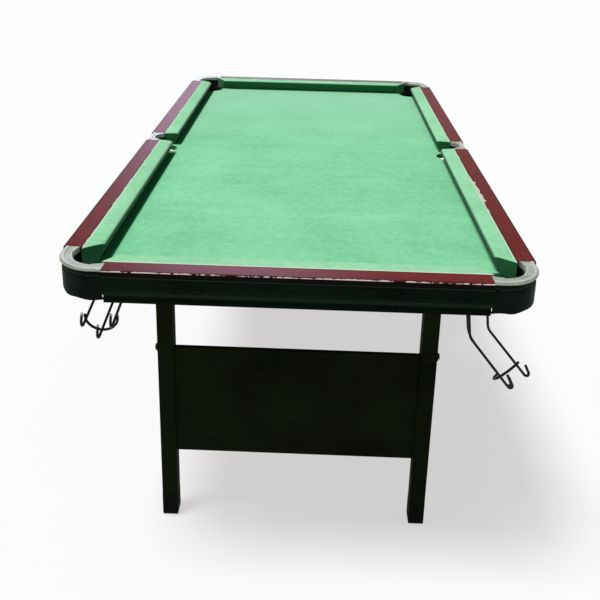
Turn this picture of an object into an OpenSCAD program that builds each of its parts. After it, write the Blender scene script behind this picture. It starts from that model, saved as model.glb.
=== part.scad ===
/* [Table] */
// Length over the end rails
table_l = 1930; // [1700:10:2200]
// Width over the side rails
table_w = 1020; // [900:10:1160]
// Height from the floor to the top of the pocket castings
table_h = 806; // [780:1:860]

/* [Rails and cushions] */
// Width of the polished top rail
rail_w = 42; // [38:1:50]
// Thickness of the top rail
rail_t = 12; // [9:1:18]
// Height of the rail top above the playing cloth
rail_rise = 39; // [36:1:44]
// Width of a cushion from its back to its nose
cushion_w = 44; // [40:1:50]
// Height of the cushion nose above the cloth
nose_h = 31; // [27:1:33]
// Distance from the corner point to the end of a cushion nose
jaw_in = 49; // [42:1:60]
// How far a corner jaw runs back towards the rail
jaw_run = 33; // [22:1:38]
// Distance from the centre line to a cushion nose at the middle pocket
mid_nose = 45; // [42:1:60]
// How far a middle jaw runs back towards the rail
mid_run = 9; // [4:1:12]

/* [Bed] */
// Thickness of the bed board
bed_t = 15; // [12:1:22]
// Thickness of the bed cloth
cloth_t = 1; // [0.8:0.1:1.5]
// Radius of the corner pocket hole in the bed
corner_hole_r = 50; // [44:1:52]
// How far the corner hole lies outside the corner point across the table
corner_hole_x = 8; // [4:1:10]
// How far the corner hole lies outside the corner point along the table
corner_hole_y = 5; // [2:1:8]
// Thickness of the battens and hinge boards under the bed
batten_t = 17; // [14:1:22]
// Width of a bed batten
batten_w = 60; // [40:1:80]
// Distance from the middle of the table to an outer batten
batten_y = 300; // [240:5:360]

/* [Aprons] */
// Thickness of an apron board
apron_t = 18; // [16:1:24]
// Height of an apron board
apron_h = 66; // [58:1:76]
// Height of the bead along the top of an apron
bead_h = 4; // [3:0.5:6]
// Depth of the long recess in an apron face
recess_d = 3; // [2:0.5:4]
// Height of the long recess
recess_h = 25; // [18:1:30]
// Height of the lower band
band_h = 14; // [8:1:18]
// How far the foot of an apron is set back
undercut = 11; // [6:1:13]

/* [Pockets] */
// Radius of the mouth of a corner casting
mouth_r = 55; // [50:1:57]
// Length of a corner casting's arms
corner_arm = 25; // [20:1:32]
// How far the castings stand above the rails
casting_lip = 1; // [0.5:0.5:3]
// Width of the raised edge of a casting
casting_edge = 9; // [6:1:14]
// How far a casting's outside is set in from the face of the rails
casting_inset = 4; // [2:0.5:6]
// Height of the outer lip of a corner casting
casting_skirt = 6; // [5:0.5:9]
// Radius of the mouth of a middle casting
mid_mouth_r = 34; // [30:1:35]
// How much nearer the table centre a middle ball rail hangs than the middle of its mouth
mid_bar_in = 15; // [14:1:18]
// Half the length of a middle casting
mid_arm = 40; // [38:1:50]
// Thickness of a pocket liner
liner_t = 3; // [2:0.5:4]
// Thickness of a corner cover
cover_t = 3; // [2:0.5:4]
// How far a corner cover is set in from the casting
cover_inset = 3; // [2:0.5:5]
// Height of a corner cover below the rails
cover_h = 63; // [50:1:65]
// Radius of the lower edge of a corner cover
cover_round = 7; // [5:0.5:10]
// Width of the turned-in hem of a corner cover
cover_hem = 13; // [9:1:18]

/* [Legs] */
// Side of a square leg
leg_w = 39; // [34:1:48]
// Distance from the table's side to the outside of a leg
leg_inset = 172.5; // [150:2.5:210]
// Distance from the table end to a leg
leg_setback = 215; // [180:5:260]
// Distance from the bed board down to the leg hinge
hinge_drop = 42; // [40:1:52]
// Diameter of a leg hinge pin
hinge_pin_d = 10; // [8:0.5:12]
// Radial clearance of a hinge pin, stay or ball rail in its bore
run_gap = 0.06; // [0.03:0.01:0.09]
// Thickness of a hinge tongue
tongue_t = 6; // [4:0.5:8]
// Thickness of a hinge plate
plate_t = 3; // [2:0.5:4]
// Length of a hinge plate
plate_l = 58; // [50:1:70]
// Height of the leg panel's lower edge
panel_low = 200; // [120:5:260]
// Height of a leg panel
panel_h = 295; // [200:5:330]
// Thickness of a leg panel
panel_t = 12; // [9:1:16]
// How far a leg panel lies behind the leg face
panel_in = 7; // [4:1:12]
// Depth of the groove that holds the panel
groove_d = 6; // [4:1:9]
// Height of the top stretcher between the legs
stretcher_h = 45; // [30:1:60]
// Thickness of the top stretcher
stretcher_t = 20; // [16:1:26]
// Distance from the hinge down to the top stretcher
stretcher_drop = 8; // [4:1:16]
// Height of a foot cap
foot_h = 65; // [45:1:80]
// Wall of a foot cap
foot_wall = 2.5; // [2:0.5:4]
// Thickness of a foot cap's sole
foot_sole = 6; // [4:1:10]
// Edge radius of a foot cap's sole
foot_round = 9; // [5:1:12]
// Width of the leg stop board
stop_w = 25; // [18:1:32]
// Height of the leg stop board
stop_h = 45; // [34:1:60]

/* [Stays] */
// Distance from the middle of the table to a stay's pivot
stay_y = 430; // [380:5:470]
// Distance from the bed board down to a stay's pivot
stay_z_drop = 28; // [26:0.5:30]
// Distance from the leg hinge down to the stay stud
stay_drop = 220; // [180:5:250]
// Width of a stay
stay_w = 18; // [14:1:20]
// Thickness of a stay
stay_t = 3; // [2:0.5:4]
// Diameter of the stay stud and rivet
stud_d = 8; // [6:0.5:9]
// Diameter of the stay stud's head
stud_head_d = 14; // [12:0.5:16]
// Side gap of a stay against the leg and the bracket
stay_gap = 0.8; // [0.4:0.1:1.2]
// Width of the hook slot beyond the stud's own
slot_play = 1; // [0.6:0.1:1.5]
// Width of a stay bracket
bracket_w = 28; // [22:1:36]
// Thickness of a stay bracket
bracket_t = 3; // [2:0.5:4]
// Length of a stay bracket's foot
bracket_foot = 30; // [24:1:40]

/* [Ball rails] */
// Diameter of the rail wire
wire_d = 6; // [4:0.5:7]
// Radius of the trough that the wires make
trough_r = 31; // [28:0.5:34]
// Length of a ball rail's hinge bar
bar_l = 99; // [96:1:112]
// Drop of the wires below the hinge bar
stub_l = 70; // [56:1:80]
// Length of the sloping run
run_l = 180; // [150:1:190]
// Slope of the run when the rail hangs on its stop
hang_slope = 41; // [34:1:50]
// Radius of the bend between drop and run
bend_r = 18; // [12:1:24]
// Radius of an end hook
hook_r = 12; // [8:1:14]
// Turn of an end hook
hook_turn = 125; // [100:1:140]
// Length of a hook's tip
hook_tip = 16; // [10:1:24]
// How far most rails are lifted above their stop
lift_angle = 31; // [0:1:33]
// Width of a saddle clip
clip_w = 8; // [6:1:10]
// Wall of a saddle clip
clip_wall = 2; // [1.5:0.5:3]

/* [Hidden] */
$fn = 96;

// Colours
mahogany = "#6d3430";
cloth_green = "#8edcad";
cushion_green = "#9adcb0";
board_brown = "#b08a5c";
black_green = "#14261b";
black = "#0d0f0e";
silver = "#b0b6ae";
steel = "#8c9092";

// Gap between pieces that butt against each other
seam = 0.3;
// Overlap of a cutter past the face that it cuts
cut = 1;
// Sides of a bent wire and the angle between them
wire_sides = 8;
wire_turn = 360 / wire_sides;
// Thickness of a middle pocket's liner
mid_liner_t = liner_t - 1.3;
// Diameter of the screws' shanks
screw_d = 3.6;
// Half the length of a clip's foot and the place of its screws
clip_reach = 13;
clip_screw_x = 8.8;
// Radius of the hoops that are welded under the wires
hoop_r = trough_r + wire_d * 0.75;
// Distances of the middle wire from the hinge bar and of the last hoop from the run's end
middle_top = 14;
hoop_back = 26;

// Main lines of the table, from its centre and from the floor
half_w = table_w / 2;
half_l = table_l / 2;
back_x = half_w - rail_w;
back_y = half_l - rail_w;
nose_x = back_x - cushion_w;
nose_y = back_y - cushion_w;
ring_r = rail_w + cushion_w;
ring_out = ring_r - casting_inset;
cover_out = ring_out - cover_inset;
cover_in = cover_out - cover_t;
lip_z = table_h - casting_skirt;
rail_top = table_h - casting_lip;
rail_base = rail_top - rail_t;
cloth_top = rail_top - rail_rise;
bed_top = cloth_top - cloth_t;
bed_low = bed_top - bed_t;
batten_low = bed_low - batten_t;
apron_low = rail_base - apron_h;
frame_x = half_w - apron_t - seam;
frame_y = half_l - apron_t - seam;
side_end = nose_y - corner_arm;
end_end = nose_x - corner_arm;
mid_x = frame_x - mid_liner_t - mid_mouth_r;

// Legs
leg_x = half_w - leg_inset - leg_w / 2;
leg_out = leg_x + leg_w / 2;
leg_in = leg_x - leg_w / 2;
leg_y = half_l - leg_setback - leg_w / 2;
hinge_z = bed_low - hinge_drop;
panel_y = leg_y + leg_w / 2 - panel_in - panel_t / 2;
stop_y = leg_y + leg_w / 2 + seam;

// Stays, with their rise while a leg folds through a right angle
stay_x = leg_out + stay_gap;
stay_z = bed_low - stay_z_drop;
bracket_x = stay_x + stay_t + seam;
stay_fall = stay_z - hinge_z + stay_drop;
stay_reach = leg_y - stay_y;
stay_l = norm([stay_reach, stay_fall]);
stay_dip = atan2(stay_fall, stay_reach);
stay_ratio = stay_dip / 90;
slot_dir = atan2(-stay_ratio * stay_reach, -stay_drop - stay_ratio * stay_fall);

// Ball rails: place of the hinge bar, heading in plan and lift above the stop
bar_z = bed_low - clip_wall - wire_d / 2 - run_gap;
corner_bar_y = 149;
right_heading = -50;
right_back = 61;
NEAR_LEFT = [-nose_x + 2, corner_bar_y - nose_y - corner_hole_y, -90, lift_angle];
NEAR_RIGHT = [
    nose_x + corner_hole_x - right_back * cos(right_heading),
    -nose_y - corner_hole_y - right_back * sin(right_heading),
    right_heading, 0
];
FAR_LEFT = [-nose_x + 2, nose_y + corner_hole_y - corner_bar_y, 90, lift_angle];
FAR_RIGHT = [nose_x - 2, nose_y + corner_hole_y - corner_bar_y, 90, lift_angle];
MIDDLE_LEFT = [-mid_x + mid_bar_in, corner_bar_y, -90, lift_angle];
MIDDLE_RIGHT = [mid_x - mid_bar_in, corner_bar_y, -90, lift_angle];
BARS = [NEAR_LEFT, NEAR_RIGHT, MIDDLE_LEFT, MIDDLE_RIGHT, FAR_LEFT, FAR_RIGHT];

// Points of an arc of radius r about c, from angle a to angle b
function arc(c, r, a, b, n = 4) = [
    for (i = [0 : n]) c + r * [cos(a + (b - a) * i / n), sin(a + (b - a) * i / n)]
];

// Moves what is drawn in the far right quarter to another quarter
module quarter(sx, sy) {
    mirror([sx < 0 ? 1 : 0, 0, 0]) mirror([0, sy < 0 ? 1 : 0, 0]) children();
}

// Extrudes a section drawn in x and z along y
module run_y(y0, y1) {
    translate([0, y1, 0]) rotate([90, 0, 0]) linear_extrude(y1 - y0) children();
}

// Extrudes a section drawn in y and z along x
module run_x(x0, x1) {
    translate([x0, 0, 0]) rotate([90, 0, 90]) linear_extrude(x1 - x0) children();
}

// Rod along x
module rod_x(x0, x1, d) {
    translate([x0, 0, 0]) rotate([0, 90, 0]) cylinder(d = d, h = x1 - x0);
}

// Square with rounded corners, centred
module round_square(side, r) {
    square([side - 2 * r, side], center = true);
    square([side, side - 2 * r], center = true);
    for (sx = [-1, 1], sy = [-1, 1]) {
        translate([sx, sy] * (side / 2 - r)) circle(r = r);
    }
}

// Holes for the six pockets in the bed and its cloth
module pocket_holes() {
    for (sx = [-1, 1], sy = [-1, 1]) {
        translate([sx * (nose_x + corner_hole_x), sy * (nose_y + corner_hole_y)])
            circle(r = corner_hole_r);
    }
    for (sx = [-1, 1]) {
        translate([sx * mid_x, 0]) circle(r = mid_mouth_r + mid_liner_t + seam);
        translate([sx * (mid_x + ring_r / 2), 0])
            square([ring_r, 2 * (mid_mouth_r + mid_liner_t + seam)], center = true);
    }
}

module bed_board() {
    color(board_brown) translate([0, 0, bed_low]) linear_extrude(bed_t) difference() {
        union() {
            square([2 * frame_x, 2 * side_end - 2 * cut], center = true);
            square([2 * end_end - 2 * cut, 2 * frame_y], center = true);
            intersection() {
                square([2 * frame_x, 2 * frame_y], center = true);
                for (sx = [-1, 1], sy = [-1, 1]) {
                    translate([sx * nose_x, sy * nose_y]) circle(r = cover_in - seam);
                }
            }
        }
        pocket_holes();
    }
}

module bed_cloth() {
    color(cloth_green) translate([0, 0, bed_top]) linear_extrude(cloth_t) difference() {
        square([2 * (back_x - seam), 2 * (back_y - seam)], center = true);
        pocket_holes();
        for (sx = [-1, 1], sy = [-1, 1]) {
            translate([sx * (nose_x + corner_hole_x + ring_r), sy * (nose_y + corner_hole_y + ring_r)])
                square(2 * ring_r, center = true);
        }
    }
}

// Battens across the underside, the middle one short of the pockets
module bed_battens() {
    color(board_brown) {
        for (sy = [-1, 1]) {
            translate([-frame_x, sy * batten_y - batten_w / 2, batten_low])
                cube([2 * frame_x, batten_w, batten_t]);
        }
        translate([-end_end, -batten_w / 2, batten_low]) cube([2 * end_end, batten_w, batten_t]);
    }
}

// Boards that carry the leg hinges
module hinge_boards() {
    color(board_brown) for (sy = [-1, 1]) quarter(1, sy) {
        y0 = leg_y + leg_w / 2 - plate_l - 2;
        translate([-leg_out, y0, batten_low])
            cube([2 * leg_out, stop_y + stop_w - y0, batten_t]);
    }
}

// Boards that the legs stand against when they are open
module leg_stops() {
    color(black_green) for (sy = [-1, 1]) quarter(1, sy) {
        translate([-leg_out, stop_y, batten_low - stop_h]) cube([2 * leg_out, stop_w, stop_h]);
    }
}

// Section of a top rail from its inner edge outwards
function rail_section() = concat(
    [[0, rail_base], [rail_w, rail_base]],
    arc([rail_w - 2, rail_top - 2], 2, 0, 90),
    [[1, rail_top], [0, rail_top - 1]]
);

module side_rail(sx, sy) {
    color(mahogany) quarter(sx, sy) translate([back_x, 0, 0])
        run_y(mid_arm + seam, side_end - seam) polygon(rail_section());
}

module end_rail(sy) {
    color(mahogany) quarter(1, sy) translate([0, back_y, 0])
        run_x(seam - end_end, end_end - seam) polygon(rail_section());
}

module rail_near_end() { end_rail(-1); }
module rail_far_end() { end_rail(1); }
module rail_left_near() { side_rail(-1, -1); }
module rail_left_far() { side_rail(-1, 1); }
module rail_right_near() { side_rail(1, -1); }
module rail_right_far() { side_rail(1, 1); }

// Blocks between the bed and the rails, behind the cushions
module rail_liners() {
    jaw_y = nose_y - jaw_in + jaw_run;
    jaw_x = nose_x - jaw_in + jaw_run;
    mid_y = mid_mouth_r + mid_liner_t + 2 * seam;
    color(board_brown) difference() {
        union() {
            for (sx = [-1, 1], sy = [-1, 1]) quarter(sx, sy) {
                translate([back_x, mid_y, bed_top])
                    cube([frame_x - back_x, jaw_y - mid_y, rail_base - bed_top]);
            }
            for (sy = [-1, 1]) quarter(1, sy) {
                translate([-jaw_x, back_y, bed_top])
                    cube([2 * jaw_x, frame_y - back_y, rail_base - bed_top]);
            }
        }
        for (sx = [-1, 1], sy = [-1, 1]) quarter(sx, sy) {
            translate([nose_x, nose_y, bed_top - cut])
                cylinder(r = mouth_r + liner_t + seam, h = rail_base - bed_top + 2 * cut);
        }
    }
}

// Section of a cushion from its nose outwards, on the cloth
function cushion_section() = [
    [cushion_w, 0], [cushion_w * 0.34, 0], [cushion_w * 0.07, nose_h - 4],
    [0.6, nose_h - 1.6], [0, nose_h], [0.6, nose_h + 3],
    [2.2, nose_h + 5.6], [5.5, nose_h + 7.2], [cushion_w * 0.5, rail_rise - 0.3],
    [cushion_w, rail_rise]
];

module side_cushion(sx, sy) {
    nose_end = nose_y - jaw_in;
    color(cushion_green) quarter(sx, sy) intersection() {
        translate([nose_x, 0, cloth_top]) run_y(mid_nose - mid_run - cut, nose_y)
            polygon(cushion_section());
        translate([0, 0, bed_top]) linear_extrude(table_h - bed_top) polygon([
            [nose_x, mid_nose], [back_x, mid_nose - mid_run],
            [back_x, nose_end + jaw_run], [nose_x, nose_end]
        ]);
    }
}

module end_cushion(sy) {
    nose_end = nose_x - jaw_in;
    color(cushion_green) quarter(1, sy) intersection() {
        translate([0, nose_y, cloth_top]) run_x(-nose_x, nose_x) polygon(cushion_section());
        translate([0, 0, bed_top]) linear_extrude(table_h - bed_top) polygon([
            [-nose_end, nose_y], [nose_end, nose_y],
            [nose_end + jaw_run, back_y], [-nose_end - jaw_run, back_y]
        ]);
    }
}

module cushion_near_end() { end_cushion(-1); }
module cushion_far_end() { end_cushion(1); }
module cushion_left_near() { side_cushion(-1, -1); }
module cushion_left_far() { side_cushion(-1, 1); }
module cushion_right_near() { side_cushion(1, -1); }
module cushion_right_far() { side_cushion(1, 1); }

// Section of an apron, inwards from the table's outer face
function apron_section() = [
    [apron_t, rail_base], [1.5, rail_base], [0, rail_base - 1.2],
    [0, rail_base - bead_h + 1], [1, rail_base - bead_h],
    [recess_d, rail_base - bead_h - 1], [recess_d, rail_base - bead_h - recess_h],
    [0.8, rail_base - bead_h - recess_h - 2], [0, rail_base - bead_h - recess_h - 4],
    [0, rail_base - bead_h - recess_h - band_h + 2],
    [1.5, rail_base - bead_h - recess_h - band_h],
    [undercut - 2, rail_base - bead_h - recess_h - band_h - 2],
    [undercut, rail_base - bead_h - recess_h - band_h - 5],
    [undercut, apron_low], [apron_t, apron_low]
];

module side_apron(sx) {
    color(black_green) quarter(-sx, 1) translate([-half_w, 0, 0])
        run_y(seam - side_end, side_end - seam) polygon(apron_section());
}

module end_apron(sy) {
    color(black_green) quarter(1, -sy) translate([0, -half_l, 0])
        run_x(seam - end_end, end_end - seam) polygon(apron_section());
}

module apron_near_end() { end_apron(-1); }
module apron_far_end() { end_apron(1); }
module apron_left() { side_apron(-1); }
module apron_right() { side_apron(1); }

// Section of a casting, from the corner point outwards, with a lip that hangs to a height
function casting_section(inner, lip = rail_base) = concat(
    [[inner, rail_base]],
    lip == rail_base ? [] : [[cover_in - seam, rail_base], [cover_in - seam, lip]],
    [[ring_out - 0.8, lip], [ring_out, lip + 0.8]],
    arc([ring_out - 4, table_h - 4], 4, 0, 90),
    [
        [ring_out - casting_edge, table_h], [ring_out - casting_edge - 1.5, table_h - 1.2],
        [inner + 5, table_h - 1.2], [inner + 2.2, table_h - 2], [inner, table_h - 4.5]
    ]
);

module corner_casting(sx, sy) {
    color(silver) quarter(sx, sy) translate([nose_x, nose_y, 0]) {
        rotate_extrude(angle = 90) polygon(casting_section(mouth_r, lip_z));
        difference() {
            union() {
                run_y(-corner_arm, 0) polygon(casting_section(cushion_w + seam, lip_z));
                run_x(-corner_arm, 0) polygon(casting_section(cushion_w + seam, lip_z));
            }
            translate([0, 0, rail_base - cut])
                cylinder(r = mouth_r, h = table_h - rail_base + 2 * cut);
        }
    }
}

module middle_casting(sx) {
    color(silver) quarter(sx, 1) difference() {
        translate([nose_x, 0, 0])
            run_y(-mid_arm, mid_arm) polygon(casting_section(cushion_w + seam));
        translate([mid_x, 0, rail_base - cut])
            cylinder(r = mid_mouth_r, h = table_h - rail_base + 2 * cut);
    }
}

module casting_near_left() { corner_casting(-1, -1); }
module casting_near_right() { corner_casting(1, -1); }
module casting_far_left() { corner_casting(-1, 1); }
module casting_far_right() { corner_casting(1, 1); }
module casting_middle_left() { middle_casting(-1); }
module casting_middle_right() { middle_casting(1); }

// Section of a corner cover with its hem turned in, from the corner point
function cover_section() = let (
    top = lip_z - seam,
    low = rail_base - cover_h,
    round_at = [cover_out - cover_round, low + cover_round]
) concat(
    [[cover_in, top], [cover_out - 1, top], [cover_out, top - 1]],
    arc(round_at, cover_round, 0, -90, 4),
    [[cover_out - cover_hem, low], [cover_out - cover_hem, low + cover_t]],
    arc(round_at, cover_round - cover_t, -90, 0, 4)
);

module corner_cover(sx, sy) {
    color(black) quarter(sx, sy) translate([nose_x, nose_y, 0]) {
        rotate_extrude(angle = 90) polygon(cover_section());
        run_y(seam - corner_arm, 0) polygon(cover_section());
        run_x(seam - corner_arm, 0) polygon(cover_section());
    }
}

module cover_near_left() { corner_cover(-1, -1); }
module cover_near_right() { corner_cover(1, -1); }
module cover_far_left() { corner_cover(-1, 1); }
module cover_far_right() { corner_cover(1, 1); }

// Curved walls behind the mouths, so that a ball drops and doesn't roll under a rail
module pocket_liners() {
    turn = asin((jaw_in - jaw_run) / mouth_r) - 1;
    color(black) {
        for (sx = [-1, 1], sy = [-1, 1]) quarter(sx, sy) translate([nose_x, nose_y, 0]) {
            rotate([0, 0, -turn]) rotate_extrude(angle = 90 + 2 * turn)
                translate([mouth_r, bed_top]) square([liner_t, rail_base - bed_top]);
        }
        for (sx = [-1, 1]) quarter(sx, 1) translate([mid_x, 0, 0]) {
            rotate([0, 0, -65]) rotate_extrude(angle = 130)
                translate([mid_mouth_r, bed_low]) square([mid_liner_t, rail_base - bed_low]);
        }
    }
}

// Countersunk screw places on a hinge plate, from the hinge
PLATE_SCREWS = [
    for (sx = [-1, 1], y = [-plate_l + leg_w / 2 + 8, leg_w / 2 - 6]) [sx * (leg_w / 2 - 6), y]
];

// Plate with a tongue that stands in the slot of the leg
module leg_hinge() {
    plate_z = batten_low - plate_t;
    difference() {
        union() {
            translate([leg_in + 0.5, leg_y + leg_w / 2 - plate_l, plate_z])
                cube([leg_w - 1, plate_l - 1, plate_t]);
            intersection() {
                translate([leg_x - tongue_t / 2, leg_y - leg_w / 2, hinge_z - leg_w])
                    cube([tongue_t, leg_w, plate_z - hinge_z + leg_w]);
                translate([0, leg_y, 0]) run_x(leg_x - leg_w, leg_x + leg_w) {
                    translate([0, hinge_z]) circle(r = hinge_pin_d / 2 + 6);
                    translate([-hinge_pin_d / 2 - 6, hinge_z])
                        square([hinge_pin_d + 12, leg_w]);
                }
            }
        }
        translate([0, leg_y, hinge_z]) rod_x(leg_in, leg_out, hinge_pin_d + 2 * run_gap);
        for (p = PLATE_SCREWS) translate([leg_x + p[0], leg_y + p[1], plate_z]) screw(plate_t);
    }
}

// Countersunk screw through a plate, from the plate's underside
module screw(plate) {
    cylinder(r1 = screw_d, r2 = screw_d / 2, h = screw_d / 2);
    cylinder(d = screw_d, h = plate);
}

module leg_hinges() {
    color(steel) for (sx = [-1, 1], sy = [-1, 1]) quarter(sx, sy) leg_hinge();
}

// Screws of the hinge plates, the stay brackets and the clips
module wood_screws() {
    color(steel) {
        for (sx = [-1, 1], sy = [-1, 1]) quarter(sx, sy) {
            for (p = PLATE_SCREWS)
                translate([leg_x + p[0], leg_y + p[1], batten_low - plate_t]) screw(plate_t);
            for (s = [-1, 1]) at_bracket_screw(s) screw(bracket_t);
        }
        for (bar = BARS, s = [-1, 1], e = [-1, 1]) at_clip(bar, s) at_clip_screw(e) screw(clip_wall);
    }
}

module leg(sx, sy) {
    tenon_z = foot_h - seam;
    tenon_w = leg_w - 2 * foot_wall + 1;
    color(black_green) quarter(sx, sy) difference() {
        union() {
            intersection() {
                translate([leg_x, leg_y, tenon_z])
                    linear_extrude(table_h) round_square(leg_w, 3);
                translate([0, leg_y, 0]) run_x(leg_in - cut, leg_out + cut) {
                    translate([0, hinge_z]) circle(d = leg_w);
                    translate([-leg_w, 0]) square([2 * leg_w, hinge_z]);
                }
            }
            translate([leg_x - tenon_w / 2, leg_y - tenon_w / 2, foot_sole])
                cube([tenon_w, tenon_w, tenon_z - foot_sole + cut]);
        }
        translate([leg_x - tongue_t / 2 - seam, leg_y - leg_w, hinge_z - hinge_pin_d / 2 - 7])
            cube([tongue_t + 2 * seam, 2 * leg_w, leg_w * 2]);
        translate([0, leg_y, hinge_z]) rod_x(leg_in - cut, leg_out + cut, hinge_pin_d);
        translate([leg_in - cut, panel_y - panel_t / 2 - seam, panel_low - seam])
            cube([groove_d + seam + cut, panel_t + 2 * seam, panel_h + 2 * seam]);
        translate([0, leg_y, hinge_z - stay_drop])
            rod_x(leg_out - leg_w / 2, leg_out + cut, stud_d);
    }
}

module leg_near_left() { leg(-1, -1); }
module leg_near_right() { leg(1, -1); }
module leg_far_left() { leg(-1, 1); }
module leg_far_right() { leg(1, 1); }

module leg_panel(sy) {
    color(black_green) quarter(1, sy)
        translate([-leg_in - groove_d, panel_y - panel_t / 2, panel_low])
            cube([2 * (leg_in + groove_d), panel_t, panel_h]);
}

module panel_near() { leg_panel(-1); }
module panel_far() { leg_panel(1); }

module stretcher(sy) {
    color(black_green) quarter(1, sy)
        translate([-leg_in, leg_y - stretcher_t / 2, hinge_z - stretcher_drop - stretcher_h])
            cube([2 * leg_in, stretcher_t, stretcher_h]);
}

module stretcher_near() { stretcher(-1); }
module stretcher_far() { stretcher(1); }

// Side view of a foot cap with its rounded sole
module foot_outline(side) {
    translate([-side / 2, foot_round]) square([side, foot_h - foot_round]);
    translate([-side / 2 + foot_round, 0]) square([side - 2 * foot_round, foot_h]);
    for (s = [-1, 1]) translate([s * (side / 2 - foot_round), foot_round]) circle(r = foot_round);
}

module foot(sx, sy) {
    side = leg_w + 1;
    tenon_w = leg_w - 2 * foot_wall + 1;
    quarter(sx, sy) difference() {
        intersection() {
            translate([leg_x, leg_y, 0]) linear_extrude(foot_h) round_square(side, 4);
            translate([0, leg_y, 0]) run_x(leg_in - cut, leg_out + cut) foot_outline(side);
            translate([leg_x, 0, 0]) run_y(leg_y - leg_w, leg_y + leg_w) foot_outline(side);
        }
        translate([leg_x - tenon_w / 2, leg_y - tenon_w / 2, foot_sole])
            cube([tenon_w, tenon_w, foot_h]);
    }
}

module feet_near() { color(black) for (sx = [-1, 1]) foot(sx, -1); }
module feet_far() { color(black) for (sx = [-1, 1]) foot(sx, 1); }

// Hinge pins and headed stay studs of one leg frame
module leg_pins(sy) {
    color(steel) for (sx = [-1, 1]) quarter(sx, sy) {
        translate([0, leg_y, hinge_z]) rod_x(leg_in + seam, leg_out - seam, hinge_pin_d);
        translate([0, leg_y, hinge_z - stay_drop]) {
            rod_x(leg_out - leg_w / 2, bracket_x + seam, stud_d);
            rod_x(bracket_x + seam, bracket_x + seam + 3, stud_head_d);
        }
    }
}

module pins_near() { leg_pins(-1); }
module pins_far() { leg_pins(1); }

// Puts a screw in the foot of a stay bracket, on one side of its middle
module at_bracket_screw(side) {
    translate([bracket_x + bracket_foot / 2 + 4, stay_y + side * bracket_w / 4, bed_low - bracket_t])
        children();
}

// Angle bracket with the rivet that a stay turns on
module stay_bracket() {
    difference() {
        union() {
            translate([bracket_x, stay_y - bracket_w / 2, bed_low - bracket_t])
                cube([bracket_foot, bracket_w, bracket_t]);
            run_x(bracket_x, bracket_x + bracket_t) {
                translate([stay_y, stay_z]) circle(d = stay_w + 4);
                translate([stay_y - bracket_w / 2, stay_z + 4])
                    square([bracket_w, stay_z_drop - 4]);
                translate([stay_y - stay_w / 2 - 2, stay_z]) square([stay_w + 4, 10]);
            }
        }
        for (s = [-1, 1]) at_bracket_screw(s) screw(bracket_t);
    }
    translate([0, stay_y, stay_z]) {
        rod_x(stay_x, bracket_x + bracket_t + 2, stud_d);
        translate([stay_x, 0, 0]) rotate([0, 90, 0])
            cylinder(r1 = stud_d / 2 + 1.5, r2 = stud_d / 2, h = 1.5);
        rod_x(bracket_x + bracket_t, bracket_x + bracket_t + 2, stud_d + 5);
    }
}

module stay_brackets() {
    color(steel) for (sx = [-1, 1], sy = [-1, 1]) quarter(sx, sy) stay_bracket();
}

// Hook-ended bar from its pivot at the origin to the stud, in y and z
module stay_outline() {
    difference() {
        union() {
            circle(d = stay_w + 2);
            translate([0, -stay_w / 2]) square([stay_l, stay_w]);
            translate([stay_l, 0]) circle(d = stay_w + 4);
        }
        translate([stay_l, 0]) {
            circle(d = stud_d + slot_play);
            rotate(slot_dir + stay_dip) translate([0, -(stud_d + slot_play) / 2])
                square([stay_w * 2, stud_d + slot_play]);
        }
    }
}

module stay(sx, sy) {
    color(steel) quarter(sx, sy) translate([stay_x, stay_y, stay_z]) difference() {
        rotate([-stay_dip, 0, 0]) run_x(0, stay_t) stay_outline();
        rod_x(-cut, stay_t + cut, stud_d + 2 * run_gap);
        translate([-run_gap, 0, 0]) rotate([0, 90, 0])
            cylinder(r1 = stud_d / 2 + 1.5 + 2 * run_gap, r2 = stud_d / 2 + run_gap, h = 1.6);
    }
}

module stay_near_left() { stay(-1, -1); }
module stay_near_right() { stay(1, -1); }
module stay_far_left() { stay(-1, 1); }
module stay_far_right() { stay(1, 1); }

// Puts a ball rail's own frame at its hinge bar: x along the rail, y along the bar
module at_bar(bar) {
    translate([bar[0], bar[1], bar_z]) rotate([0, 0, bar[2]]) children();
}

// Puts a clip near one end of a hinge bar
module at_clip(bar, end) {
    at_bar(bar) translate([0, end * (bar_l / 2 - clip_w), 0]) children();
}

// Puts a screw in one arm of a clip's foot
module at_clip_screw(arm) {
    translate([arm * clip_screw_x, 0, bed_low - bar_z - clip_wall]) children();
}

// Clip that holds a hinge bar against the bed
module saddle_clip() {
    rise = bed_low - bar_z;
    difference() {
        run_y(-clip_w / 2, clip_w / 2) difference() {
            union() {
                circle(r = wire_d / 2 + clip_wall);
                translate([-wire_d / 2 - clip_wall, 0])
                    square([wire_d + 2 * clip_wall, rise]);
                translate([-clip_reach, rise - clip_wall]) square([2 * clip_reach, clip_wall]);
            }
            circle(d = wire_d + 2 * run_gap);
        }
        for (arm = [-1, 1]) at_clip_screw(arm) screw(clip_wall);
    }
}

module rail_clips() {
    color(black) for (bar = BARS, end = [-1, 1]) at_clip(bar, end) saddle_clip();
}

// Stations of a wire that starts along x and turns left: place in x and y, then heading.
// Each step is a length, a turn and the turn's radius.
function wire_path(steps, p = [0, 0], h = 0, i = 0) = let (
    step = steps[i],
    q = p + step[0] * [cos(h), sin(h)]
) i == len(steps) - 1 ? [[q, h]] : let (
    c = q + step[2] * [-sin(h), cos(h)],
    n = ceil(step[1] / 20),
    bend = [for (k = [0 : n]) let (a = h + step[1] * k / n) [c + step[2] * [sin(a), -cos(a)], a]]
) concat(bend, wire_path(steps, bend[n][0], h + step[1], i + 1));

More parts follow.
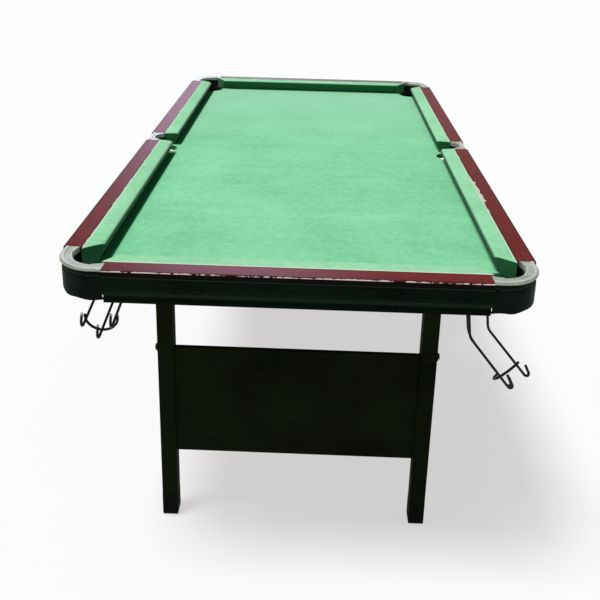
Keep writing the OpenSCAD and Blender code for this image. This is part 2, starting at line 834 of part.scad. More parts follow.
// Round wire through the stations of a path
module wire(path) {
    last = len(path) - 1;
    ring = [
        for (k = [0 : wire_sides - 1])
            wire_d / 2 * [cos((k + 0.5) * wire_turn), sin((k + 0.5) * wire_turn)]
    ];
    points = [for (s = path, r = ring) [s[0][0] - sin(s[1]) * r[0], s[0][1] + cos(s[1]) * r[0], r[1]]];
    sides = [
        for (i = [0 : last - 1], k = [0 : wire_sides - 1])
            let (a = i * wire_sides + k, b = i * wire_sides + (k + 1) % wire_sides)
                each [[a, b + wire_sides, b], [a, a + wire_sides, b + wire_sides]]
    ];
    near_cap = [for (k = [1 : wire_sides - 2]) [0, k, k + 1]];
    far_cap = [for (k = [1 : wire_sides - 2]) last * wire_sides * [1, 1, 1] + [0, k + 1, k]];
    polyhedron(points, concat(sides, near_cap, far_cap));
}

// Hoop welded under the three wires, its ends just proud of the upper two
module hoop() {
    rotate([0, 90, 0]) wire([
        for (a = [172, each [180 : wire_turn / 2 : 360], 368])
            [hoop_r * [cos(a), sin(a)], a + 90]
    ]);
}

// Three wires that make a trough, three hoops around them and the bar that they hang from
module ball_rail_form() {
    turn = 90 - hang_slope;
    bend_in = bend_r * tan(turn / 2);
    hook_in = hook_r * tan(hook_turn / 2);
    drop = stub_l - bend_in;
    run = run_l - bend_in - hook_in;
    bend_end = [drop, bend_r] + bend_r * [sin(turn), -cos(turn)];
    rotate([90, 0, 0]) cylinder(d = wire_d, h = bar_l, center = true);
    rotate([90, 90, 0]) {
        for (s = [-1, 1]) translate([0, 0, s * trough_r]) wire(concat(
            [[[0, 0], 0]],
            wire_path([[drop, turn, bend_r], [run, hook_turn, hook_r], [hook_tip]])
        ));
        wire(concat([[[middle_top, -trough_r], 0]], wire_path([
            [drop - middle_top, turn, bend_r + trough_r], [run, hook_turn, hook_r], [hook_tip]
        ], [middle_top, -trough_r])));
        translate([middle_top + wire_d, 0, 0]) hoop();
        translate(bend_end) rotate([0, 0, turn]) {
            translate([wire_d, 0, 0]) hoop();
            translate([run - hoop_back, 0, 0]) hoop();
        }
    }
}

module ball_rail(bar) {
    color(black) at_bar(bar) rotate([0, -bar[3], 0]) ball_rail_form();
}

module ball_rail_near_left() { ball_rail(NEAR_LEFT); }
module ball_rail_near_right() { ball_rail(NEAR_RIGHT); }
module ball_rail_middle_left() { ball_rail(MIDDLE_LEFT); }
module ball_rail_middle_right() { ball_rail(MIDDLE_RIGHT); }
module ball_rail_far_left() { ball_rail(FAR_LEFT); }
module ball_rail_far_right() { ball_rail(FAR_RIGHT); }

bed_board();
bed_cloth();
bed_battens();
hinge_boards();
leg_stops();
rail_near_end();
rail_far_end();
rail_left_near();
rail_left_far();
rail_right_near();
rail_right_far();
rail_liners();
cushion_near_end();
cushion_far_end();
cushion_left_near();
cushion_left_far();
cushion_right_near();
cushion_right_far();
apron_near_end();
apron_far_end();
apron_left();
apron_right();
casting_near_left();
casting_near_right();
casting_far_left();
casting_far_right();
casting_middle_left();
casting_middle_right();
cover_near_left();
cover_near_right();
cover_far_left();
cover_far_right();
pocket_liners();
leg_hinges();
wood_screws();
stay_brackets();
rail_clips();
leg_near_left();
leg_near_right();
panel_near();
stretcher_near();
feet_near();
pins_near();
leg_far_left();
leg_far_right();
panel_far();
stretcher_far();
feet_far();
pins_far();
stay_near_left();
stay_near_right();
stay_far_left();
stay_far_right();
ball_rail_near_left();
ball_rail_near_right();
ball_rail_middle_left();
ball_rail_middle_right();
ball_rail_far_left();
ball_rail_far_right();
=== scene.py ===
"""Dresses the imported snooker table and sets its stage, light and camera."""

from __future__ import annotations

import logging
import math
from dataclasses import dataclass
from enum import Enum

import bmesh
import bpy
from mathutils import Matrix, Vector


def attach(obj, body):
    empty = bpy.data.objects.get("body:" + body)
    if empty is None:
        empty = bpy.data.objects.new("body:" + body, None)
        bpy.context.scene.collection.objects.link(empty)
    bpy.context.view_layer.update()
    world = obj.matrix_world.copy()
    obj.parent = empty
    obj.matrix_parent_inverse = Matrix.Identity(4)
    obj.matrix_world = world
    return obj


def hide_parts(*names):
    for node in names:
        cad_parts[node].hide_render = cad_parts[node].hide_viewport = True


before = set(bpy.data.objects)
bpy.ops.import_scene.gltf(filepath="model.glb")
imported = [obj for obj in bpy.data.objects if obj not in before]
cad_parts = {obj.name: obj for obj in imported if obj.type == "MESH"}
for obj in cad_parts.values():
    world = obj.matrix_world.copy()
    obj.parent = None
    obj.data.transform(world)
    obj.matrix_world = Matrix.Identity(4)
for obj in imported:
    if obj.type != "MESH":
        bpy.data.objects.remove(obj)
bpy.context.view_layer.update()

log = logging.getLogger("snooker_table")

Colour = tuple[float, float, float]
Ramp = list[tuple[float, Colour]]


def srgb(red: int, green: int, blue: int) -> Colour:
    """Turns a colour of 0 to 255 as seen on a screen into linear light.

    Args:
        red: Red as seen.
        green: Green as seen.
        blue: Blue as seen.

    Returns:
        The linear colour.
    """
    def linear(value: int) -> float:
        """One channel in linear light."""
        part = value / 255
        return part / 12.92 if part <= 0.04045 else ((part + 0.055) / 1.055) ** 2.4
    return linear(red), linear(green), linear(blue)


class Side(Enum):
    """Left or right, seen from the near end."""

    LEFT = -1
    RIGHT = 1


class End(Enum):
    """The end by the camera and the end away from it."""

    NEAR = -1
    FAR = 1


class Grain(Enum):
    """The way that a board's grain runs."""

    ALONG_TABLE = (14.0, 0.9, 14.0)
    ACROSS_TABLE = (0.9, 14.0, 14.0)


@dataclass(frozen=True)
class TableLines:
    """Main lines of the table in metres, as the solids have them.

    Attributes:
        half_w: Half the table's width.
        half_l: Half the table's length.
        back_x: Where the side cushions meet their rails.
        back_y: Where the end cushions meet their rails.
        nose_x: Nose line of the side cushions.
        nose_y: Nose line of the end cushions.
        rail_top: Top of the rails.
        lip_top: Top of the castings' raised edge.
        cloth_top: Top of the playing cloth.
        corner_arm: Straight length of a corner cover on each side of its curve.
        middle_pocket: Place of a middle pocket.
        corner_pocket: Place of a corner pocket.
    """

    half_w: float = 0.510
    half_l: float = 0.965
    back_x: float = 0.468
    back_y: float = 0.923
    nose_x: float = 0.424
    nose_y: float = 0.879
    rail_top: float = 0.805
    lip_top: float = 0.806
    cloth_top: float = 0.766
    corner_arm: float = 0.025
    middle_pocket: tuple[float, float] = (0.456, 0.0)
    corner_pocket: tuple[float, float] = (0.432, 0.884)


LINES = TableLines()

# Swaps X and Y, which turns a side cushion into an end cushion.
SWAP_XY = Matrix(((0, 1, 0, 0), (1, 0, 0, 0), (0, 0, 1, 0), (0, 0, 0, 1)))
# Frame of a wire that hangs from a hinge bar: X down, Y forward.
HANGING = Matrix(((0, 1, 0, 0), (0, 0, -1, 0), (-1, 0, 0, 0), (0, 0, 0, 1)))
# Frame of a hoop round a trough: X down, Y sideways, Z along the trough.
ROUND_TROUGH = Matrix(((0, 0, 1, 0), (0, 1, 0, 0), (-1, 0, 0, 0), (0, 0, 0, 1)))


class Sheet:
    """Node tree of one procedural material, laid out by short calls."""

    def __init__(self, name: str) -> None:
        """Starts an empty tree with a shader.

        Args:
            name: Name of the material.
        """
        self.material = bpy.data.materials.new(name)
        self.material.use_nodes = True
        self.tree = self.material.node_tree
        self.tree.nodes.clear()
        self.shader = self.node("ShaderNodeBsdfPrincipled")
        out = self.node("ShaderNodeOutputMaterial")
        self.link(self.shader.outputs[0], out.inputs["Surface"])
        self.place = self.node("ShaderNodeTexCoord").outputs["Object"]
        self.axes = self.node("ShaderNodeSeparateXYZ")
        self.link(self.place, self.axes.inputs[0])

    def node(self, kind: str) -> bpy.types.Node:
        """Adds a node of that kind."""
        return self.tree.nodes.new(kind)

    def link(self, source: bpy.types.NodeSocket, target: bpy.types.NodeSocket) -> None:
        """Joins two sockets."""
        self.tree.links.new(source, target)

    def feed(self, target: bpy.types.NodeSocket, value: object) -> None:
        """Sets a socket's own value, or links another socket to it.

        Args:
            target: Socket that is fed.
            value: A number, a colour or a socket.
        """
        if isinstance(value, bpy.types.NodeSocket):
            self.link(value, target)
        elif isinstance(value, tuple) and len(value) == 3 and target.type == "RGBA":
            target.default_value = (*value, 1.0)
        else:
            target.default_value = value

    def math(self, operation: str, first: object, second: object = 0.0,
             clamp: bool = False) -> bpy.types.NodeSocket:
        """Works a value out of two others.

        Args:
            operation: Name of the operation, such as ADD.
            first: First value or socket.
            second: Second value or socket.
            clamp: Whether the result is held between 0 and 1.

        Returns:
            The result's socket.
        """
        node = self.node("ShaderNodeMath")
        node.operation = operation
        node.use_clamp = clamp
        self.feed(node.inputs[0], first)
        self.feed(node.inputs[1], second)
        return node.outputs[0]

    def times(self, first: object, *others: object) -> bpy.types.NodeSocket:
        """Multiplies values.

        Args:
            first: First value or socket.
            *others: The other values or sockets.

        Returns:
            The product's socket.
        """
        for other in others:
            first = self.math("MULTIPLY", first, other)
        return first

    def weigh(self, *parts: tuple[bpy.types.NodeSocket, float]) -> bpy.types.NodeSocket:
        """Adds values up, each by its weight.

        Args:
            *parts: The sockets and their weights.

        Returns:
            The sum's socket.
        """
        total, *rest = [self.times(value, weight) for value, weight in parts]
        for term in rest:
            total = self.math("ADD", total, term)
        return total

    def axis(self, name: str) -> bpy.types.NodeSocket:
        """The place along X, Y or Z in metres."""
        return self.axes.outputs[name]

    def upward(self) -> bpy.types.NodeSocket:
        """Reads how far the surface faces up.

        Returns:
            1 where it lies level.
        """
        node = self.node("ShaderNodeSeparateXYZ")
        self.link(self.node("ShaderNodeTexCoord").outputs["Normal"], node.inputs[0])
        return node.outputs["Z"]

    def span(self, value: object, start: float, end: float) -> bpy.types.NodeSocket:
        """Rises smoothly from 0 at start to 1 at end.

        Args:
            value: Socket that is read.
            start: Where the rise begins.
            end: Where it is complete.

        Returns:
            The result's socket.
        """
        node = self.node("ShaderNodeMapRange")
        node.interpolation_type = "SMOOTHSTEP"
        self.feed(node.inputs["Value"], value)
        flip = start > end
        node.inputs["From Min"].default_value = end if flip else start
        node.inputs["From Max"].default_value = start if flip else end
        node.inputs["To Min"].default_value = 1.0 if flip else 0.0
        node.inputs["To Max"].default_value = 0.0 if flip else 1.0
        return node.outputs[0]

    def step(self, value: object, limit: float, soft: float) -> bpy.types.NodeSocket:
        """Rises from 0 to 1 about a limit, or falls where soft is negative."""
        return self.span(value, limit - soft, limit + soft)

    def band(self, value: object, low: float, high: float, soft: float) -> bpy.types.NodeSocket:
        """1 between two limits and 0 beyond them, with soft edges."""
        return self.times(self.step(value, low, soft), self.step(value, high, -soft))

    def noise(self, scale: float, detail: float = 3.0,
              stretch: tuple[float, float, float] = (1.0, 1.0, 1.0),
              shift: float = 0.0) -> bpy.types.NodeSocket:
        """Adds cloudy noise.

        Args:
            scale: Waves per metre.
            detail: Number of finer layers.
            stretch: How much denser it is along each axis.
            shift: Offset that makes it another pattern.

        Returns:
            The noise, about 0.5 in the middle.
        """
        mapping = self.node("ShaderNodeMapping")
        mapping.inputs["Scale"].default_value = stretch
        mapping.inputs["Location"].default_value = (shift, shift, shift)
        self.link(self.place, mapping.inputs["Vector"])
        node = self.node("ShaderNodeTexNoise")
        node.inputs["Scale"].default_value = scale
        node.inputs["Detail"].default_value = detail
        self.link(mapping.outputs[0], node.inputs["Vector"])
        return node.outputs["Fac"]

    def ramp(self, value: object, stops: Ramp) -> bpy.types.NodeSocket:
        """Turns a value into a colour.

        Args:
            value: Socket that is read.
            stops: Places and colours of the stops.

        Returns:
            The colour's socket.
        """
        node = self.node("ShaderNodeValToRGB")
        self.feed(node.inputs[0], value)
        elements = node.color_ramp.elements
        while len(elements) < len(stops):
            elements.new(0.5)
        for element, (place, colour) in zip(elements, stops):
            element.position = place
            element.color = (*colour, 1.0)
        return node.outputs[0]

    def mix(self, part: object, first: object, second: object) -> bpy.types.NodeSocket:
        """Mixes two colours.

        Args:
            part: Share of the second colour.
            first: First colour or socket.
            second: Second colour or socket.

        Returns:
            The colour's socket.
        """
        node = self.node("ShaderNodeMix")
        node.data_type = "RGBA"
        self.feed(node.inputs["Factor"], part)
        self.feed(node.inputs[6], first)
        self.feed(node.inputs[7], second)
        return node.outputs[2]

    def bump(self, height: object, distance: float, strength: float = 1.0) -> None:
        """Gives the surface relief.

        Args:
            height: Socket of the height, from 0 to 1.
            distance: Height of the relief in metres.
            strength: Share of the relief that shows.
        """
        node = self.node("ShaderNodeBump")
        node.inputs["Distance"].default_value = distance
        node.inputs["Strength"].default_value = strength
        self.feed(node.inputs["Height"], height)
        self.link(node.outputs[0], self.shader.inputs["Normal"])

    def set(self, **values: object) -> None:
        """Sets the shader's sockets by name, with _ for a space."""
        for name, value in values.items():
            self.feed(self.shader.inputs[name.replace("_", " ")], value)


@dataclass(frozen=True)
class Cloth:
    """Napped green cloth, faded by the sun on top, with painted shade off the flat top and
    beside the left cushions.

    Attributes:
        name: Name of the material.
        light: Palest tone of the faded cloth.
        middle: Its middle tone.
        deep: Its deepest tone.
        far_tone: Paler tone towards the far end.
        unfaded_and_shade: Darker unfaded cloth off the flat top and on the cushion faces,
            partly painted shade.
        painted_shadow: Painted shadow of the left cushions, the colour of the strips beside
            them.
        strip_w: Width of those strips.
        gap: Half the break in the strips at the middle pocket.
        gap_y: How far that break lies towards the near end.
        soft: Width of a strip's soft edge.
        above: Heights over the flat cloth between which the faded top gives way to darker
            cloth, partly painted shade.
        below: Heights under it between which the same happens.
        pale_from_y: Place along the table from which the tone grows paler towards the far end.
    """

    name: str = "faded_green_cloth"
    light: Colour = srgb(145, 227, 175)
    middle: Colour = srgb(133, 215, 162)
    deep: Colour = srgb(118, 200, 148)
    far_tone: Colour = srgb(156, 217, 180)
    unfaded_and_shade: Colour = srgb(34, 96, 57)
    painted_shadow: Colour = srgb(10, 104, 54)
    strip_w: float = 0.0095
    gap: float = 0.047
    gap_y: float = 0.006
    soft: float = 0.002
    above: tuple[float, float] = (0.0016, 0.0004)
    below: tuple[float, float] = (-0.0015, -0.0004)
    pale_from_y: float = -0.2

    def make(self) -> bpy.types.Material:
        """Makes the material.

        Returns:
            The material.
        """
        sheet = Sheet(self.name)
        mottle = sheet.noise(70.0, 3.0, shift=3.0)
        nap = sheet.noise(900.0, 2.0, (1.0, 0.5, 1.0))
        # The crease noise is painted shading of creases and has no relief of its own.
        crease_shading = sheet.noise(9.0, 2.0, (0.25, 2.6, 1.0), 7.0)
        tone = sheet.weigh((sheet.noise(5.0, 4.0), 0.40), (mottle, 0.34), (crease_shading, 0.16),
                           (nap, 0.10))
        colour = sheet.ramp(tone, [(0.36, self.deep), (0.5, self.middle), (0.64, self.light)])
        far = sheet.times(sheet.span(sheet.axis("Y"), self.pale_from_y, LINES.nose_y), 0.6)
        colour = sheet.mix(far, colour, self.far_tone)
        # Painted shadow: darker cloth, with less sheen, in the strips where the left cushions
        # cast their shadow.
        painted_shadow_share = self.painted_shadow_share(sheet)
        colour = sheet.mix(painted_shadow_share, colour, self.painted_shadow)
        # Off the flat top, as in the pockets, the cloth takes the darker unfaded colour: partly
        # sun-fading, partly painted shade.
        height = sheet.math("SUBTRACT", sheet.axis("Z"), LINES.cloth_top)
        faded_and_lit = sheet.times(sheet.span(height, *self.above), sheet.span(height, *self.below))
        sheen = sheet.times(sheet.math("SUBTRACT", 1.0, painted_shadow_share), 0.12)
        sheet.set(Base_Color=sheet.mix(faded_and_lit, self.unfaded_and_shade, colour), Roughness=0.95,
                  Specular_IOR_Level=sheen, Sheen_Weight=sheen, Sheen_Roughness=0.5)
        sheet.bump(sheet.weigh((nap, 1.0), (mottle, 0.5)), 0.0006, 0.5)
        return sheet.material

    def painted_shadow_share(self, sheet: Sheet) -> bpy.types.NodeSocket:
        """Share of the painted shadow, in the strips where the left cushions cast their shadow.

        Args:
            sheet: The material's nodes.

        Returns:
            The share.
        """
        edge = self.strip_w - LINES.nose_x
        along = sheet.math("ABSOLUTE", sheet.math("ADD", sheet.axis("Y"), self.gap_y))
        return sheet.times(
            sheet.step(sheet.axis("X"), edge, -self.soft * 0.4),
            sheet.step(along, self.gap, self.soft / 2),
            sheet.step(along, LINES.nose_y - self.soft, -self.soft / 2), 0.92)


@dataclass(frozen=True)
class CushionCloth(Cloth):
    """The cloth on the cushions, a little paler on top, with a painted highlight along the
    rails and painted shade on the faces.

    Attributes:
        back_highlight: Colour of the painted highlight along the back.
        back_highlight_w: Width of that painted highlight.
    """

    name: str = "cushion_cloth"
    light: Colour = srgb(164, 230, 182)
    middle: Colour = srgb(153, 221, 172)
    deep: Colour = srgb(138, 208, 157)
    back_highlight: Colour = srgb(210, 226, 200)
    back_highlight_w: float = 0.0041

    def make(self) -> bpy.types.Material:
        """Makes the material.

        Returns:
            The material.
        """
        sheet = Sheet(self.name)
        mottle = sheet.noise(80.0, 3.0, shift=5.0)
        nap = sheet.noise(900.0, 2.0)
        tone = sheet.weigh((sheet.noise(7.0, 4.0, shift=2.0), 0.5), (mottle, 0.36), (nap, 0.14))
        colour = sheet.ramp(tone, [(0.36, self.deep), (0.5, self.middle), (0.64, self.light)])
        # Painted highlight along the back of the cushions, where they meet the rails.
        colour = sheet.mix(sheet.step(self.past_back(sheet), -self.back_highlight_w, 0.0005), colour,
                           self.back_highlight)
        # Faces that do not face up take the darker unfaded cloth: partly sun-fading, partly
        # painted shade.
        faded_and_lit = sheet.span(sheet.upward(), 0.55, 0.93)
        sheet.set(Base_Color=sheet.mix(faded_and_lit, self.unfaded_and_shade, colour), Roughness=0.95,
                  Specular_IOR_Level=0.1, Sheen_Weight=0.12, Sheen_Roughness=0.5)
        sheet.bump(sheet.weigh((nap, 1.0), (mottle, 0.5)), 0.0005, 0.5)
        return sheet.material

    @staticmethod
    def past_back(sheet: Sheet) -> bpy.types.NodeSocket:
        """Distance past the line along which the cushions meet the rails.

        Args:
            sheet: The material's nodes.

        Returns:
            The distance, below 0 on the cushions.
        """
        across = sheet.math("SUBTRACT", sheet.math("ABSOLUTE", sheet.axis("X")), LINES.back_x)
        along = sheet.math("SUBTRACT", sheet.math("ABSOLUTE", sheet.axis("Y")), LINES.back_y)
        return sheet.math("MAXIMUM", across, along)


@dataclass(frozen=True)
class Mahogany:
    """Red-brown laminate with worn, chipped edges and a black outer side.

    Attributes:
        name: Name of the material.
        grain: The way that its grain runs.
        glare_sheen: Strength of a pale sheen at a low angle, a painted reflection that stands
            in for glare.
        dark: Darkest tone of the wood.
        middle: Its middle tone.
        light: Its lightest tone.
        line: The dark lines along both edges of the top.
        edge: The outer side below the rounded edge.
        chip: Bare board where the laminate has gone.
        line_in: How far the inner dark line reaches past the rail's inner edge.
        line_out: How far inside the rail's outer edge the outer dark line begins.
        edge_drop: How far below the rail's top the outer side begins.
        rub_out: How far past the outer line the edge is rubbed through.
        rub_drop: How far down it is rubbed through.
        nick_in: How far before the inner edge it is nicked.
        chip_in: How far before the inner edge the long chip ends.
        ragged: How far the chips' outline strays.
        chip_y: Middle of the long chip, towards the near end.
        chip_half: Half the length of the long chip.
    """

    name: str
    grain: Grain
    glare_sheen: float = 0.0
    dark: Colour = srgb(76, 16, 15)
    middle: Colour = srgb(101, 25, 21)
    light: Colour = srgb(122, 38, 31)
    line: Colour = srgb(54, 22, 16)
    edge: Colour = srgb(18, 10, 10)
    chip: Colour = srgb(222, 206, 198)
    line_in: float = 0.0038
    line_out: float = 0.0052
    edge_drop: float = 0.0026
    rub_out: float = 0.00165
    rub_drop: float = 0.0030
    nick_in: float = 0.0011
    chip_in: float = 0.0030
    ragged: float = 0.004
    chip_y: float = 0.425
    chip_half: float = 0.076

    def make(self) -> bpy.types.Material:
        """Makes the material.

        Returns:
            The material.
        """
        sheet = Sheet(self.name)
        fibre = sheet.noise(22.0, 5.0, self.grain.value)
        figure = sheet.noise(3.0, 3.0, tuple(v / 4 for v in self.grain.value), 4.0)
        tone = sheet.weigh((fibre, 0.55), (figure, 0.45))
        wood = sheet.ramp(tone, [(0.34, self.dark), (0.5, self.middle), (0.68, self.light)])
        along = self.grain is Grain.ALONG_TABLE
        inner, outer = (LINES.back_x, LINES.half_w) if along else (LINES.back_y, LINES.half_l)
        across = sheet.math("ABSOLUTE", sheet.axis("X" if along else "Y"))
        lines = sheet.math("ADD", sheet.step(across, inner + self.line_in, -0.0008),
                           sheet.step(across, outer - self.line_out, 0.0010), True)
        wood = sheet.mix(sheet.times(lines, 0.8), wood, self.line)
        top = sheet.step(sheet.axis("Z"), LINES.rail_top - self.edge_drop, 0.0004)
        colour = sheet.mix(top, self.edge, wood)
        worn = self.worn(sheet, across, inner, outer)
        # The sheen, strong on the far rail only, is a painted reflection that stands in for
        # glare.
        sheet.set(Base_Color=sheet.mix(worn, colour, self.chip),
                  Roughness=sheet.math("ADD", 0.30, sheet.times(fibre, 0.16)),
                  Specular_IOR_Level=0.026, Sheen_Weight=self.glare_sheen, Sheen_Roughness=0.5,
                  Sheen_Tint=(0.76, 1.0, 0.86))
        sheet.bump(fibre, 0.0001, 0.5)
        return sheet.material

    def worn(self, sheet: Sheet, across: bpy.types.NodeSocket, inner: float,
             outer: float) -> bpy.types.NodeSocket:
        """Where the edges are rubbed through or chipped.

        Args:
            sheet: The material's nodes.
            across: Distance from the table's middle line.
            inner: That distance at the rail's inner edge.
            outer: That distance at the rail's outer edge.

        Returns:
            1 where the bare board shows.
        """
        noise = sheet.noise(90.0, 4.0, shift=1.0)
        patch = sheet.noise(16.0, 4.0, shift=9.0)
        stray = sheet.times(noise, self.ragged)
        rubbed = sheet.times(
            sheet.step(sheet.math("ADD", across, stray), outer + self.rub_out, 0.00015),
            sheet.step(patch, 0.40, 0.02),
            sheet.step(sheet.axis("Z"), LINES.rail_top - self.rub_drop, 0.0002))
        nicked = sheet.times(
            sheet.step(sheet.math("SUBTRACT", across, stray), inner - self.nick_in, -0.0003),
            sheet.step(patch, 0.57, 0.03))
        worn = sheet.math("MAXIMUM", rubbed, nicked)
        if self.grain is Grain.ALONG_TABLE:
            worn = sheet.math("MAXIMUM", worn, self.long_chip(sheet, noise))
        return worn

    def long_chip(self, sheet: Sheet, noise: bpy.types.NodeSocket) -> bpy.types.NodeSocket:
        """The long chip in the right rail's inner edge.

        Args:
            sheet: The material's nodes.
            noise: Noise that makes its outline ragged.

        Returns:
            1 inside the chip.
        """
        deep = sheet.math("SUBTRACT", sheet.axis("X"), sheet.times(noise, self.ragged * 4))
        far = sheet.math("ABSOLUTE", sheet.math("ADD", sheet.axis("Y"), self.chip_y))
        return sheet.times(sheet.step(deep, LINES.back_x - self.chip_in, -0.0004),
                           sheet.span(sheet.axis("X"), 0.0, 0.1),
                           sheet.step(far, self.chip_half, -0.006))


@dataclass(frozen=True)
class PaintedBoard:
    """Satin dark paint on board, with scuffs, rubbed spots and, on the aprons, painted bands of
    light and shade.

    Attributes:
        name: Name of the material.
        dark: Darkest tone of the paint.
        light: Its lightest tone.
        scuff: Colour of the scuffs.
        painted_light_bands: Lower and upper edge and colour of the level bands on the aprons:
            painted highlights on the bead and a moulding, and painted shade in the undercut.
    """

    name: str = "green_black_paint"
    dark: Colour = srgb(4, 14, 8)
    light: Colour = srgb(16, 29, 18)
    scuff: Colour = srgb(52, 60, 47)
    painted_light_bands: tuple[tuple[float, float, Colour], ...] = (
        (0.7868, 0.7908, srgb(36, 48, 42)),
        (0.7430, 0.7580, srgb(25, 39, 29)),
        (0.7330, 0.7395, srgb(4, 12, 6)),
    )

    def make(self) -> bpy.types.Material:
        """Makes the material.

        Returns:
            The material.
        """
        sheet = Sheet(self.name)
        brush = sheet.noise(60.0, 4.0, (1.0, 1.0, 3.0), 2.0)
        tone = sheet.weigh((sheet.noise(6.0, 4.0), 0.65), (brush, 0.35))
        colour = sheet.ramp(tone, [(0.35, self.dark), (0.66, self.light)])
        # Painted highlights on the bead and a moulding, and painted shade in the undercut
        # below.
        for low, high, painted_light_tone in self.painted_light_bands:
            band = sheet.times(sheet.band(sheet.axis("Z"), low, high, 0.0006), 0.75)
            colour = sheet.mix(band, colour, painted_light_tone)
        scratch = sheet.noise(160.0, 5.0, (0.4, 0.4, 2.5), 5.0)
        marks = sheet.times(sheet.span(scratch, 0.66, 0.72),
                            sheet.span(sheet.noise(8.0, 2.0, shift=6.0), 0.5, 0.62))
        sheet.set(Base_Color=sheet.mix(marks, colour, self.scuff),
                  Roughness=sheet.math("ADD", 0.58, sheet.times(brush, 0.2)),
                  Specular_IOR_Level=0.022)
        sheet.bump(brush, 0.0003, 0.35)
        return sheet.material


@dataclass(frozen=True)
class SilverCasting:
    """Silver finish of the pocket castings, dull and chipped pale, with a painted highlight on
    the raised edge and painted shade in the groove beside it.

    Attributes:
        name: Name of the material.
        dark: Darkest tone of the silver.
        middle: Its middle tone.
        light: Its lightest tone.
        chip: Colour of the flaked spots.
        lip_highlight: Colour of the painted highlight on the raised edge.
        groove_shade: Colour of the painted shade in the groove beside the raised edge.
    """

    name: str = "scuffed_silver"
    dark: Colour = srgb(126, 132, 119)
    middle: Colour = srgb(149, 155, 141)
    light: Colour = srgb(171, 177, 161)
    chip: Colour = srgb(222, 222, 210)
    lip_highlight: Colour = srgb(204, 210, 198)
    groove_shade: Colour = srgb(84, 92, 84)

    def make(self) -> bpy.types.Material:
        """Makes the material.

        Returns:
            The material.
        """
        sheet = Sheet(self.name)
        cloud = sheet.noise(38.0, 5.0)
        fine = sheet.noise(420.0, 3.0, shift=2.0)
        tone = sheet.weigh((cloud, 0.7), (fine, 0.3))
        colour = sheet.ramp(tone, [(0.34, self.dark), (0.5, self.middle), (0.66, self.light)])
        flake = sheet.span(sheet.noise(130.0, 4.0, shift=8.0), 0.68, 0.71)
        colour = sheet.mix(flake, colour, self.chip)
        height = sheet.axis("Z")
        # Painted highlight on the raised edge.
        lip_highlight = sheet.times(sheet.span(height, LINES.lip_top - 0.0003, LINES.lip_top), 0.45)
        colour = sheet.mix(lip_highlight, colour, self.lip_highlight)
        # Painted shade in the groove beside it.
        groove = sheet.band(height, LINES.lip_top - 0.0010, LINES.lip_top - 0.0003, 0.0001)
        colour = sheet.mix(sheet.times(groove, 0.6), colour, self.groove_shade)
        sheet.set(Base_Color=colour, Metallic=0.3, Specular_IOR_Level=0.25,
                  Roughness=sheet.math("ADD", 0.38, sheet.times(cloud, 0.25)))
        sheet.bump(sheet.math("ADD", fine, cloud), 0.0002, 0.3)
        return sheet.material


@dataclass(frozen=True)
class PlainFinish:
    """A moulded, coated, plated or raw surface with its own mottling and relief.

    Attributes:
        name: Name of the material.
        dark: Its darkest tone.
        light: Its lightest tone.
        rough: Roughness of the smoothest spots.
        cloud: Waves per metre of the mottling.
        fine: Waves per metre of the relief.
        metallic: Share of metal.
        level: Strength of the shine.
        relief: Height of the relief in metres.
        spread: How much rougher the roughest spots are.
    """

    name: str
    dark: Colour
    light: Colour
    rough: float
    cloud: float = 20.0
    fine: float = 400.0
    metallic: float = 0.0
    level: float = 0.5
    relief: float = 0.0002
    spread: float = 0.15

    def make(self) -> bpy.types.Material:
        """Makes the material.

        Returns:
            The material.
        """
        sheet = Sheet(self.name)
        fine = sheet.noise(self.fine, 3.0, shift=3.0)
        tone = sheet.weigh((sheet.noise(self.cloud, 4.0), 0.6), (fine, 0.4))
        colour = sheet.ramp(tone, [(0.36, self.dark), (0.64, self.light)])
        sheet.set(Base_Color=self.detail(sheet, colour), Metallic=self.metallic,
                  Specular_IOR_Level=self.level,
                  Roughness=sheet.math("ADD", self.rough, sheet.times(fine, self.spread)))
        sheet.bump(fine, self.relief, 0.6)
        return sheet.material

    def detail(self, sheet: Sheet, colour: bpy.types.NodeSocket) -> bpy.types.NodeSocket:
        """The colour with the finish's own detail, here with none."""
        return colour


@dataclass(frozen=True)
class BedBoard(PlainFinish):
    """Raw board whose upright edges, also those in the pockets, are coloured dark, a painted
    shade for the dark inside the pockets.

    Attributes:
        edge: Colour of that painted shade.
    """

    spread: float = 0.10
    edge: Colour = srgb(14, 20, 16)

    def detail(self, sheet: Sheet, colour: bpy.types.NodeSocket) -> bpy.types.NodeSocket:
        """The board's colour with painted shade on its upright edges."""
        # Painted shade on the upright edges, as in the pockets.
        flat = sheet.span(sheet.math("ABSOLUTE", sheet.upward()), 0.4, 0.6)
        return sheet.mix(flat, self.edge, colour)


@dataclass(frozen=True)
class CoverVinyl(PlainFinish):
    """Grained vinyl with a wavy sewn line below its upper edge.

    Attributes:
        thread: Colour of the sewn line.
        seam_z: Height of the line's middle.
        wave: Height of its waves, crest to trough.
    """

    thread: Colour = srgb(46, 56, 42)
    seam_z: float = 0.7885
    wave: float = 0.011

    def detail(self, sheet: Sheet, colour: bpy.types.NodeSocket) -> bpy.types.NodeSocket:
        """Draws the sewn line.

        Args:
            sheet: The material's nodes.
            colour: The vinyl's colour.

        Returns:
            The colour with the line.
        """
        wave = sheet.times(sheet.noise(75.0, 1.0, (1.0, 1.0, 0.2), 5.0), self.wave)
        off = sheet.math("SUBTRACT", sheet.math("ADD", sheet.axis("Z"), wave),
                         self.seam_z + self.wave / 2)
        seam = sheet.span(sheet.math("ABSOLUTE", off), 0.0013, 0.0006)
        return sheet.mix(sheet.times(seam, 0.75), colour, self.thread)


